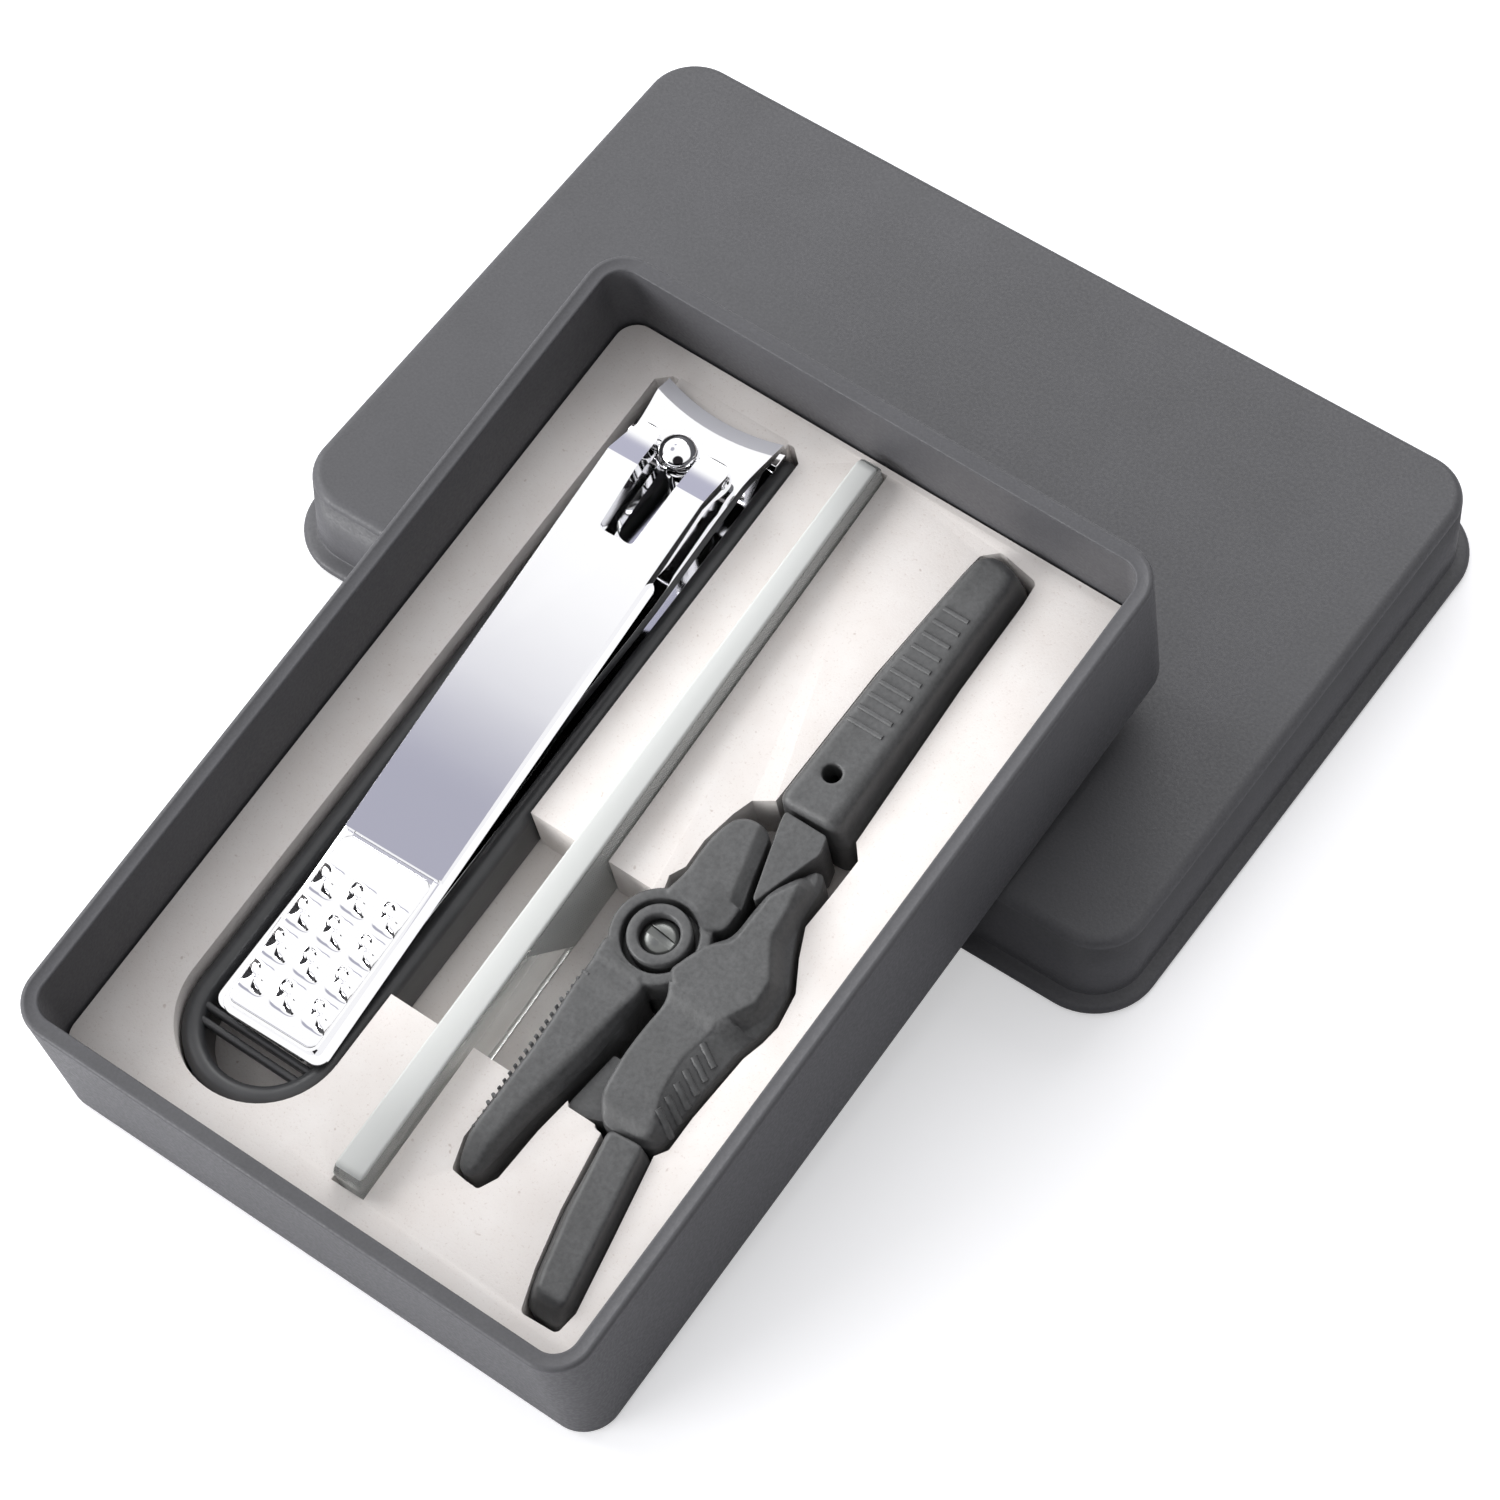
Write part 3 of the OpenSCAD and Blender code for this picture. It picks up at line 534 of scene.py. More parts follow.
TRAY_WIDE, TRAY_LONG, TRAY_HIGH = 75, 110, 23
tray_levels = (
    arc(0.8, 0.4 + 0.8, 0.8, -90, 0, 6)
    + [(22.3, 0.02)] + arc(TRAY_HIGH - 0.45, 0.45, 0.45, 0, 90, 5)
    + [(TRAY_HIGH, 0.62), (TRAY_HIGH - 0.06, 0.7), (TRAY_HIGH - 0.06, 1.7)]
    + arc(TRAY_HIGH - 0.3, 1.76, 0.24, 90, 180, 3)
    + [(11.5, 2.2), (2.6, 2.4), (2.0, 2.8)])
tray = lofted("tray_shell", box_rings(TRAY_WIDE, TRAY_LONG, 4.8, tray_levels), TRAY)
finished(tray, case_plastic, "tray", "case_plastic", "tray")

# %% [markdown]
# ## Foam
# The insert is a cut sheet on a plain one. Its outline with every cut-out is taken from the solid model,
# and the edges are softened, because a steel rule pulls foam down a little as it cuts. A small tongue of
# the same foam follows the hollow front of the clipper's head.

# %% Foam insert
insert = bevelled(copied("foam_insert", "foam_cut_sheet"), 0.3, 3)
finished(insert, foam_finish, "foam", "foam", "foam_insert")
curve = [(x, 31.95 - math.sqrt(24.3 ** 2 - x * x)) for x in (7.7 - 0.7 * k for k in range(23))]
tongue = bevelled(prism("foam_tongue", curve + [(-7.7, 10.1), (7.7, 10.1)], 0.1, 8.51), 0.25, 3)
finished(placed(tongue, CLIPPER), foam_finish, "foam", "foam")
sheet = bevelled(copied("foam_base", "foam_lower_sheet"), 0.15, 2)
finished(sheet, foam_finish, "foam", "foam", "foam_base")

# %% [markdown]
# ## The clipper's housing
# The housing is one moulding: a thin floor and a rail that runs up one side, round the rear end and back
# down the other side. The rail is a rounded bar, swept along its middle line, and its two front ends are
# round.

# %% Housing
RAIL_MID, RAIL_HALF, LOOP_Y, FRONT_Y = 8.4, 1.3, -77.0, 7.5


def rail_section(swell):
    """The bar's outline as [sideways, height], with a well rounded top."""
    points = [(-0.95, 0.1), (0.95, 0.1), (1.22, 0.22), (RAIL_HALF, 0.5)]
    for k in range(13):
        a = math.radians(180 * k / 12)
        points.append((RAIL_HALF * math.cos(a), 5.75 + 1.25 * math.sin(a)))
    points += [(-RAIL_HALF, 0.5), (-1.22, 0.22)]
    return [(u * swell, 0.1 + (z - 0.1) * (0.86 + 0.14 * swell)) for u, z in points]


def rail_end(x, turn):
    """Stations that swell from nothing at the round front end to the full bar."""
    rise = [math.pi / 2 * k / 8 for k in range(9)]
    return [(x, FRONT_Y + RAIL_HALF * math.cos(a), turn, max(0.02, math.sin(a))) for a in rise]


loop = [-math.pi * k / 32 for k in range(33)]
stations = (
    rail_end(RAIL_MID, 0) + [(RAIL_MID, y, 0, 1) for y in (0, -20, -40, -60)]
    + [(RAIL_MID * math.cos(a), LOOP_Y + RAIL_MID * math.sin(a), a, 1) for a in loop]
    + [(-RAIL_MID, y, -math.pi, 1) for y in (-60, -40, -20, 0)] + rail_end(-RAIL_MID, -math.pi)[::-1])
rings = [[(x + u * math.cos(a), y + u * math.sin(a), z) for u, z in rail_section(swell)]
         for x, y, a, swell in stations]
rail = lofted("rail", rings, FLAT, flat_ends=False)
floor_plate = bevelled(slab("floor_plate", (-7.6, 7.6), (-66, 8), (0.1, 1.0)), 0.2, 2)
pads = [bevelled(slab("pad", (-5, 5), (-66, -58), (0.9, 2.75)), 0.3, 2),
        bevelled(slab("pad", (-5, 5), (-16, -8), (0.9, 2.05)), 0.3, 2)]
bars = [bevelled(slab("bar", (-7.6, 7.6), (y, y + 0.85), (4.9, 6.5)), 0.36, 4) for y in (-79.4, -81.0)]
housing = placed(joined("housing_rails", rail, floor_plate, *pads, *bars), CLIPPER)
finished(housing, housing_plastic, "clipper", "housing_plastic", "clipper_housing")

# %% [markdown]
# ## Arms
# Both arms are pressed strip steel. The lower one lies in the housing; the upper one rises to the head,
# where it widens and is ground hollow to a cutting edge. The hollow is the side of a wide cone: it takes
# more off the top than off the edge, and so leaves the slanted band that catches the light along the edge.

# %% Arms, post and rivet
def bend(x, y, r, start, end, steps=8):
    """Points along an arc in plan."""
    return [(x + r * math.cos(math.radians(start + (end - start) * k / steps)),
             y + r * math.sin(math.radians(start + (end - start) * k / steps))) for k in range(steps + 1)]


def arm_plan(half, rear):
    flare = [(6.6, -32), (6.75, -28), (7.15, -20), (7.3, -15), (7.3, 1.6), (7.4, 2.9), (7.6, 4.5), (7.8, 5.7),
             (half, 6.6), (half, 8.6)]
    return (bend(-5.1, 1.5 - rear, 1.5, 180, 270) + bend(5.1, 1.5 - rear, 1.5, 270, 360)
            + flare + [(-x, y) for x, y in reversed(flare)])


lower = bevelled(copied("clipper_lower_arm", "arm_lower"), 0.12, 2, crease=9)
finished(lower, chrome, "clipper", "chrome", "clipper_lower_arm")

upper_side = [(-78.4, 4.9), (-60, 4.9), (-3, 9.1), (3, 9.4), (7, 9.6), (8.7, 9.6), (8.7, 11.0),
              (3.4, 10.95), (-3, 10.9), (-60, 6.7), (-78.4, 6.7)]
upper = pressed("arm_upper", upper_side, arm_plan(7.9, 78.4))
HOLLOW, EDGE_Y = 24.65, 31.95
cone = [(0, 5), (HOLLOW, 5), (HOLLOW, 10.2), (HOLLOW + 5, 12.2), (0, 12.2)]
cut(upper, turned("cone", cone, 0, EDGE_Y, 240))
cut(upper, prism("post_slot", bend(0, 0, 2.3, 0, 180, 24) + bend(0, -8.6, 2.1, 180, 360, 24), 5, 15))
drilled(upper, 1.8, 3, 9, 0, -71, 64)
bevelled(cleaned(upper), 0.12, 2, crease=9)
band = [face.index for face in upper.data.polygons if face.center.y > 4 * MM and 0.8 < face.normal.z < 0.97]
finished(placed(upper, CLIPPER), chrome, "clipper_jaw", "chrome", "clipper_upper_arm")
upper.data.materials.append(ground_steel)
for index in band:
    upper.data.polygons[index].material_index = 1
print("ground band has", len(band), "faces")

rivet = bevelled(copied("clipper_rear_rivet", "rivet_rear"), 0.12, 3)
finished(rivet, chrome, "clipper", "chrome", "clipper_rear_rivet")

BALL_Z, BALL_R = 13.6, 2.42
ball = [(BALL_R * math.cos(math.radians(a)), BALL_Z + BALL_R * math.sin(math.radians(a)))
        for a in range(-48, 90, 4)]
post_profile = [
    (0, 1.35), (2.5, 1.35), (2.66, 1.42), (2.7, 1.55), (2.7, 1.9), (2.6, 2.03), (1.9, 2.05), (1.8, 2.15),
    (1.8, 10.3), (1.78, 10.6), (1.7, 11.0), (1.62, 11.4), (1.6, 11.7)] + ball + [(0, BALL_Z + BALL_R)]
post = turned("post_with_ball", post_profile, steps=96)
bore = prism("bore", circle(0, 0, 0.8, 48), -5, 5)
to_pin = Matrix.Rotation(math.radians(LEVER_TURN), 4, "Z") @ Matrix.Translation((0, 0, PIN_UP))
bore.data.transform(FLAT @ to_pin @ Matrix.Rotation(math.pi / 2, 4, "Y") @ FLAT.inverted())
shaded(cut(post, bore), 40)
finished(placed(post, CLIPPER), chrome, "clipper_post", "chrome", "clipper_post")

# %% [markdown]
# ## Lever
# The lever is a channel of sheet steel. Two rounded lobes at its front are bent down over the pin on both
# sides of the ball, and a tapered slot behind the ball lets the post through when the lever is flipped. The
# panel behind it bows down a little towards a step, below which the thumb pad lies and tilts up to the
# rear. A thin plate closes the channel from below and stands out all round as a narrow rim.

# %% Lever
lobe = [(-3.5 + 4.7 * k / 12, 1.75 - 4.7 * (0.122 * k / 12 + 0.05 * (k / 12) ** 2)) for k in range(13)]
lever_side = [(-78.2, 0.1), (-78.2, 1.75), (-54.95, 0.52), (-54.85, 1.3)] + [
    (y, 1.75 - 0.42 * ((-y - 24) / 30.8) ** 2) for y in range(-54, -24, 3)] + [
    (-24, 1.75), (-4.0, 1.75), (-3.6, 1.75)] + lobe + [
    (1.45, 0.84), (1.65, 0.7), (1.8, 0.5), (1.85, 0.2), (1.85, -0.3), (1.5, -1.05), (0.95, -1.5), (0.3, -1.7),
    (-0.5, -1.66), (-1.4, -1.25), (-2.4, -0.55), (-11, -0.55), (-13, 0.1)]
lever_plan = (
    bend(-5.45, -76.9, 1.3, 180, 270) + bend(4.3, -76.9, 1.3, 270, 360)
    + [(5.6, -55.1), (5.75, -54.8), (6.1, -54.7), (6.15, -4), (6.45, -0.2), (6.48, 0.3)]
    + bend(5.13, 0.3, 1.35, 0, 90) + bend(4.1, 0.05, 1.6, 90, 180)
    + [(2.5, -3), (2.15, -11.2)] + bend(1.55, -11.3, 0.6, 0, -90) + bend(-1.75, -11.3, 0.6, 270, 180)
    + [(-2.35, -11.2), (-2.75, -3), (-2.75, 0)]
    + bend(-4.35, 0.05, 1.6, 0, 90) + bend(-4.45, 0.15, 1.5, 90, 163) + [(-6.75, -3.3)])
lever = pressed("thumb_lever", lever_side, lever_plan)
cut(lever, slab("hollow", (-5.75, 5.1), (-56, -13), (-6, 0.55)))
cut(lever, slab("hollow", (-5.75, 4.6), (-77.2, -55.5), (-6, 0.25)))
lever_bore = prism("bore", circle(0, 0, 0.77, 48), -20, 20)
lever_bore.data.transform(Matrix.Rotation(math.pi / 2, 4, "Y"))
cut(lever, lever_bore)
bevelled(cleaned(lever), 0.16, 3, 30, crease=9)
fold = lever.data.attributes["sharp_edge"].data
for edge in lever.data.edges:
    ends = [lever.data.vertices[v].co / MM for v in edge.vertices]
    if all(abs(p.y + 3.5) < 0.02 and p.z > 1.7 for p in ends):
        fold[edge.index].value = True
rim_plan = (bend(-5.6, -77.3, 1.6, 180, 270) + bend(5.25, -77.3, 1.6, 270, 360)
            + bend(5.5, -15.2, 1.35, 0, 90) + bend(-5.85, -15.2, 1.35, 90, 180))
rim = lofted("lever_rim", [[(x, y, z) for x, y in inset(rim_plan, d)] for d, z in (
    (0.06, 0.1), (0.0, 0.15), (0.0, 0.2), (0.08, 0.26), (1.05, 0.44))], FLAT)
rim.data.set_sharp_from_angle(angle=math.radians(9))
lever = placed(joined("thumb_lever", lever, rim), LEVER)
finished(lever, chrome, "clipper_lever", "chrome", "clipper_lever")

pin = turned("lever_pin", [(0, -6.6), (0.6, -6.6), (0.72, -6.52), (0.75, -6.4), (0.75, 6.0), (0.72, 6.12),
                           (0.6, 6.2), (0, 6.2)], steps=40)
pin.data.transform(Matrix.Rotation(math.pi / 2, 4, "Y"))
finished(placed(pin, LEVER), chrome, "clipper_lever", "chrome", "clipper_lever_pin")

# %% [markdown]
# The thumb pad is embossed with three by four soft square scales, so that a wet thumb doesn't slip. A grid
# of points is lifted by a rule: each point looks up the nearest scale on the lattice and how far it lies
# from that scale's middle, measured so that equal distances form a rounded square, and a smooth step turns
# the distance into a height. The step is steep at the two corners on one diagonal and gentle at the other
# two, which gives the pad its grip in one direction. The rule is a Geometry Nodes tree with the pitch,
# size, height and count as its inputs.

# %% Rule for the thumb pad
def tree_with(name, *sockets):
    """A Geometry Nodes tree with named inputs, given as (name, kind, default)."""
    tree = bpy.data.node_groups.new(name, "GeometryNodeTree")
    for label, kind, default in sockets:
        item = tree.interface.new_socket(name=label, in_out="INPUT", socket_type="NodeSocket" + kind)
        if default is not None:
            item.default_value = default
    tree.interface.new_socket(name="Geometry", in_out="OUTPUT", socket_type="NodeSocketGeometry")
    return tree, tree.nodes.new("NodeGroupInput"), tree.nodes.new("NodeGroupOutput")


def coated(tree, shape, given, result):
    """Ends a tree: real geometry, with the finish that was given."""
    whole = node(tree, "GeometryNodeRealizeInstances", ("Geometry", shape.outputs[0]))
    done = node(tree, "GeometryNodeSetMaterial", ("Geometry", whole.outputs[0]),
                ("Material", given.outputs["Finish"]))
    tree.links.new(done.outputs[0], result.inputs[0])


def follow(made, tree, **values):
    """Adds a tree to an object, sets its inputs by socket identifier and turns the result into mesh."""
    mod = made.modifiers.new(tree.name, "NODES")
    mod.node_group = tree
    for item in tree.interface.items_tree:
        if item.in_out == "INPUT" and item.name in values:
            mod[item.identifier] = values[item.name]
    return applied(made)


scales, given, result = tree_with(
    "thumb_pad_scales", ("Geometry", "Geometry", None), ("First", "Vector", (0, 0, 0)),
    ("Pitch", "Vector", (1, 1, 0)), ("Columns", "Int", 3), ("Rows", "Int", 4), ("Half", "Float", 1.0),
    ("Edge", "Float", 0.3), ("Height", "Float", 0.2), ("Finish", "Material", None))
where = node(scales, "ShaderNodeSeparateXYZ", (0, node(scales, "GeometryNodeInputPosition").outputs[0]))
first = node(scales, "ShaderNodeSeparateXYZ", (0, given.outputs["First"]))
pitch = node(scales, "ShaderNodeSeparateXYZ", (0, given.outputs["Pitch"]))
CORNER_POWER, SLANT = 4.0, 1.9
parts = []
for axis, count in (("X", "Columns"), ("Y", "Rows")):
    off = math_node(scales, "SUBTRACT", where.outputs[axis], first.outputs[axis])
    nearest = math_node(scales, "ROUND", math_node(scales, "DIVIDE", off, pitch.outputs[axis]))
    last = math_node(scales, "SUBTRACT", given.outputs[count], 1.0)
    held = node(scales, "ShaderNodeClamp", ("Value", nearest), ("Min", 0.0), ("Max", last)).outputs[0]
    away = math_node(scales, "SUBTRACT", off, math_node(scales, "MULTIPLY", held, pitch.outputs[axis]))
    share = math_node(scales, "DIVIDE", away, given.outputs["Half"])
    far = math_node(scales, "ABSOLUTE", share)
    parts.append((share, far, math_node(scales, "POWER", far, CORNER_POWER)))
slant, spread, power = [math_node(scales, "ADD", a, b) for a, b in zip(*parts)]
distance = math_node(scales, "POWER", power, 1 / CORNER_POWER)
aside = math_node(scales, "DIVIDE", math_node(scales, "ABSOLUTE", slant),
                  math_node(scales, "MAXIMUM", spread, 0.01))
wider = math_node(scales, "MULTIPLY_ADD", aside, SLANT, 1.0)
edge = math_node(scales, "MULTIPLY", wider, given.outputs["Edge"])
step = node(scales, "ShaderNodeMapRange", ("Value", distance),
            ("From Min", math_node(scales, "SUBTRACT", 1.0, edge)), ("From Max", 1.0), ("To Min", 1.0),
            ("To Max", 0.0), interpolation_type="SMOOTHSTEP")
high = math_node(scales, "MULTIPLY", given.outputs["Height"], step.outputs[0])
offset = node(scales, "ShaderNodeCombineXYZ", ("Z", high))
moved = node(scales, "GeometryNodeSetPosition", ("Geometry", given.outputs["Geometry"]),
             ("Offset", offset.outputs[0]))
coated(scales, moved, given, result)
print("thumb pad rule has", len(scales.nodes), "nodes")

# %% [markdown]
# The pad itself is a thin sheet whose border is draped over a rounded edge: a point that lies outside the
# outline is brought back to it and moved down by the same distance.

# %% Thumb pad
def draped(name, x, y, corner, edge, deep, step, top):
    """A level sheet with rounded corners and a rounded, turned-down edge."""
    cx, cy = sum(x) / 2, sum(y) / 2
    hx, hy = (x[1] - x[0]) / 2, (y[1] - y[0]) / 2
    nx, ny = int((2 * hx + 2 * deep) / step), int((2 * hy + 2 * deep) / step)
    points, faces = [], []
    for j in range(ny + 1):
        for i in range(nx + 1):
            px, py = (2 * i / nx - 1) * (hx + deep), (2 * j / ny - 1) * (hy + deep)
            qx, qy = max(0.0, abs(px) - (hx - corner)), max(0.0, abs(py) - (hy - corner))
            if qx == 0 and qy == 0:
                s = max(abs(px) - hx, abs(py) - hy)
                sideways = abs(px) - hx > abs(py) - hy
                toward = (math.copysign(1, px), 0) if sideways else (0, math.copysign(1, py))
            else:
                size = math.hypot(qx, qy)
                s = size - corner
                toward = (math.copysign(qx / size, px), math.copysign(qy / size, py))
            z = 0.0
            if s > -edge:
                turn = min((s + edge) / edge, math.pi / 2)
                flat = -edge + edge * math.sin(turn)
                px, py = px - toward[0] * (s - flat), py - toward[1] * (s - flat)
                z = -edge * (1 - math.cos(turn)) - max(0.0, (s + edge) - edge * math.pi / 2)
            points.append((cx + px, cy + py, top + z))
    for j in range(ny):
        for i in range(nx):
            a = j * (nx + 1) + i
            faces.append((a, a + 1, a + nx + 2, a + nx + 1))
    return piece(name, points, faces, FLAT)


pad = draped("thumb_pad", (-6.4, 5.28), (-77.85, -55.3), 1.1, 0.1, 0.3, 0.07, 0.0)
follow(pad, scales, First=Vector((-4.87, -74.15, 0)) * MM, Pitch=Vector((4.33, 4.35, 0)) * MM,
       Columns=3, Rows=4, Half=1.9 * MM, Edge=0.34, Height=0.55 * MM, Finish=chrome)
PAD_Y, PAD_UP, PAD_TILT = -66.6, 1.22, -3.05
seat = (LEVER @ Matrix.Translation((0, PAD_Y, PAD_UP)) @ Matrix.Rotation(math.radians(PAD_TILT), 4, "X")
        @ Matrix.Translation((0, -PAD_Y, 0)))
finished(placed(pad, seat), chrome, "clipper_lever", "chrome")

# %% [markdown]
# ## Glass file
# The file is a plain blade that stands on edge and is thinner at its tip. It carries its own millimetres
# along, across and up as an attribute, and the glass finish reads them to know where the etched field lies.

# %% File
blade = bevelled(copied("glass_file", "file_blade"), 0.35, 3)
inverse = FILE.inverted()
marks = blade.data.attributes.new("blade_mm", "FLOAT_VECTOR", "POINT")
for spot, vertex in zip(marks.data, blade.data.vertices):
    spot.vector = inverse @ vertex.co
finished(blade, glass, "file", "glass", "glass_file")

# %% [markdown]
# ## Nipper
# The nipper's plastic parts are soft moulded bodies. Each one starts as a skin through dense rings between
# the outline of its foot and the outline of its top. After the cuts for collar, bush and bores the piece is
# remeshed in fine cells and smoothed, which rounds every edge the way a mould does. A rule for the top's
# height then pulls the saddles and slopes into it.

# %% Helpers for moulded bodies
def moulded(name, rows, z0, z1, knee, top_r, foot_r=0.4, reach=1.3):
    """Rows are [x, y, foot dx, foot dy]: the top's outline and how far the foot stands out from it."""
    dense = rounded_rows([list(r) + [0] * (4 - len(r)) for r in rows], reach)
    levels = []
    for k in range(4):
        a = math.radians(30 * k)
        levels.append((z0 + foot_r * (1 - math.cos(a)), foot_r * (1 - math.sin(a))))
    levels += [(z0 + (z1 - top_r - z0) * k / 10, 0.0) for k in range(2, 10)]
    for k in range(8):
        a = math.radians(90 * k / 7)
        levels.append((z1 - top_r + top_r * math.sin(a), top_r * (1 - math.cos(a))))
    rings = []
    for z, d in levels:
        share = min(1.0, max(0.0, (z - knee) / (z1 - knee)))
        flat = [(p[0] + p[2] * (1 - share), p[1] + p[3] * (1 - share)) for p in dense]
        rings.append([(x, y, z) for x, y in inset(flat, d)])
    return lofted(name, rings, FLAT, flat_ends=False)


def softened(made, cell=0.2, rounds=3):
    """Remeshes a level piece in cells of the given size and smooths the result."""
    mod = made.modifiers.new("cells", "REMESH")
    mod.mode = "VOXEL"
    mod.voxel_size = cell * MM
    mod.use_smooth_shade = True
    soft = made.modifiers.new("soft", "SMOOTH")
    soft.factor = 0.5
    soft.iterations = rounds
    return shaded(applied(made))


def topped(made, knee, z1, height):
    """Scales everything above the knee so that the top follows height(x, y)."""
    for vertex in made.data.vertices:
        x, y, z = vertex.co / MM
        if z > knee:
            vertex.co.z = MM * (knee + (z - knee) * (height(x, y) - knee) / (z1 - knee))
    made.data.update()
    return made


def smooth_step(value, start, end):
    u = min(1.0, max(0.0, (value - start) / (end - start)))
    return u * u * (3 - 2 * u)


def beyond(x, y, outline):
    """How far a point lies outside an outline; 0 inside."""
    inside, best = False, 1e9
    for i in range(len(outline)):
        (ax, ay), (bx, by) = outline[i - 1], outline[i]
        if (ay > y) != (by > y) and x < (bx - ax) * (y - ay) / (by - ay) + ax:
            inside = not inside
        dx, dy = bx - ax, by - ay
        u = min(1.0, max(0.0, ((x - ax) * dx + (y - ay) * dy) / (dx * dx + dy * dy)))
        best = min(best, math.hypot(x - ax - u * dx, y - ay - u * dy))
    return 0.0 if inside else best


# %% [markdown]
# The frame is the big piece of the nipper: a broad plate beside the pivot, a bent arm that ends at the
# fixed blade and a short handle with a saddle for the finger. The plate's border slopes down all round,
# steeply on the outside and gently towards the blade.

# %% Nipper frame
FOOT, TOP, KNEE = 0.3, 11.0, 8.3
frame_rows = [
    [5.2, -17.8], [6.8, -20.1, 0, -.2], [8.6, -20.3, 0, -.2], [11.9, -19.3, .9, -.6], [12.4, -18.4, 1.4, 0],
    [10.4, -14.3, 3.4, 0], [9.7, -9.9, 4.4, 0], [10.4, -5.8, 4.0, 0], [12.1, -3.2, 3.0, 0], [13.7, -1, 1.7, 0],
    [13.1, 2.9, 1.7, 0], [10.7, 6.3, 2.1, 0], [10.2, 10, 0.9, 0], [10.1, 14.4, 0.8, 0], [9.3, 16.0, 0.5, .4],
    [8.6, 14.6], [6.9, 11], [6.6, 8], [6.6, 4.6], [4.8, 1.9], [3, -2.5], [4.7, -4.8], [4.5, -8.9], [4.6, -12.9]]
plate = [(6.9, 3.3), (7.3, 4.3), (7.5, 10.1), (9.0, 12.9), (9.7, 10.0), (10.1, 6.4), (11.6, 4.0), (13.0, 2.1),
         (13.1, -0.6), (11.7, -3.5), (4.9, -3.5), (3.2, -2.4), (4.8, 1.6)]
body = moulded("nipper_frame", frame_rows, FOOT, TOP, KNEE, 0.5, 0.4)
cut(body, prism("hub", circle(0, 0, 5.3, 96), FOOT + 0.1, 5.7), "UNION")
drilled(body, 5.9, 5.5, 8.3)
drilled(body, 3.9, 8.0, 20)
drilled(body, 2.62, -5, 20)
spring_room = prism("spring_room", circle(0, 0, 1.95, 48), 0, 1.5)
spring_room.data.transform(
    Matrix.Translation((4.2 * MM, -10 * MM, 4 * MM)) @ Matrix.Rotation(math.pi / 2, 4, "Y"))
cut(body, spring_room)
softened(body, 0.19, 2)


def frame_top(x, y):
    if y < -3.6:
        dip = 1.15 * smooth_step(-y, 3.5, 6.6) - 0.75 * smooth_step(-y, 6.5, 14.5)
        return TOP - 0.1 - dip - 1.2 * smooth_step(-y, 16.6, 20.2) ** 2
    out = beyond(x, y, plate)
    return TOP - 0.85 * min(out, 1.6) - 0.75 * smooth_step(y, 11.0, 16.2)


topped(body, KNEE, TOP, frame_top)
print("frame shaped,", len(body.data.polygons), "faces")

# %% [markdown]
# Rows of ribs come back three times: across the sheath, down the handle's flank and along the edge of the
# moving lever. One Geometry Nodes tree makes them all. It puts a short line at every point of a row, drops
# the line's points on to the surface below and sweeps a small circle along it, thinner at both ends.

# %% Rule for ribs
ribs, given, result = tree_with(
    "draped_ribs", ("Geometry", "Geometry", None), ("Count", "Int", 6), ("Start", "Vector", (0, 0, 0)),
    ("Step", "Vector", (0, 0, 0)), ("Rib", "Vector", (0, 0, 0)), ("Shrink", "Float", 0.0),
    ("Radius", "Float", 0.001), ("Sink", "Float", 0.0), ("Surface", "Object", None),
    ("Finish", "Material", None))
row = node(ribs, "GeometryNodeMeshLine", ("Count", given.outputs["Count"]),
           ("Start Location", given.outputs["Start"]), ("Offset", given.outputs["Step"]), mode="OFFSET")
line = node(ribs, "GeometryNodeCurvePrimitiveLine", ("End", given.outputs["Rib"]))
fine = node(ribs, "GeometryNodeResampleCurve", ("Curve", line.outputs[0]), ("Count", 14))
index = node(ribs, "GeometryNodeInputIndex").outputs[0]
left = math_node(ribs, "SUBTRACT", 1.0, math_node(ribs, "MULTIPLY", index, given.outputs["Shrink"]))
size = node(ribs, "ShaderNodeCombineXYZ", ("X", left), ("Y", left), ("Z", left))
each = node(ribs, "GeometryNodeInstanceOnPoints", ("Points", row.outputs[0]), ("Instance", fine.outputs[0]),
            ("Scale", size.outputs[0]))
real = node(ribs, "GeometryNodeRealizeInstances", ("Geometry", each.outputs[0]))
under = node(ribs, "GeometryNodeObjectInfo", ("Object", given.outputs["Surface"]))
where = node(ribs, "GeometryNodeInputPosition")
drop = node(ribs, "GeometryNodeRaycast", ("Target Geometry", under.outputs["Geometry"]),
            ("Source Position", where.outputs[0]), ("Ray Direction", (0, 0, -1)), ("Ray Length", 0.02))
pick = node(ribs, "GeometryNodeSwitch", ("Switch", drop.outputs["Is Hit"]), ("False", where.outputs[0]),
            ("True", drop.outputs["Hit Position"]), input_type="VECTOR")
below = node(ribs, "ShaderNodeCombineXYZ", ("Z", given.outputs["Sink"]))
down = node(ribs, "ShaderNodeVectorMath", (0, pick.outputs[0]), (1, below.outputs[0]), operation="SUBTRACT")
laid = node(ribs, "GeometryNodeSetPosition", ("Geometry", real.outputs[0]), ("Position", down.outputs[0]))
along_rib = node(ribs, "GeometryNodeSplineParameter")
mid = node(ribs, "ShaderNodeMapRange", ("Value", along_rib.outputs["Factor"]), ("To Min", -1.0),
           ("To Max", 1.0))
power = math_node(ribs, "POWER", math_node(ribs, "ABSOLUTE", mid.outputs[0]), 8.0)
thin = math_node(ribs, "MAXIMUM", math_node(ribs, "SUBTRACT", 1.0, power), 0.12)
sized = node(ribs, "GeometryNodeSetCurveRadius", ("Curve", laid.outputs[0]), ("Radius", thin))
bar = node(ribs, "GeometryNodeCurvePrimitiveCircle", ("Resolution", 14), ("Radius", given.outputs["Radius"]))
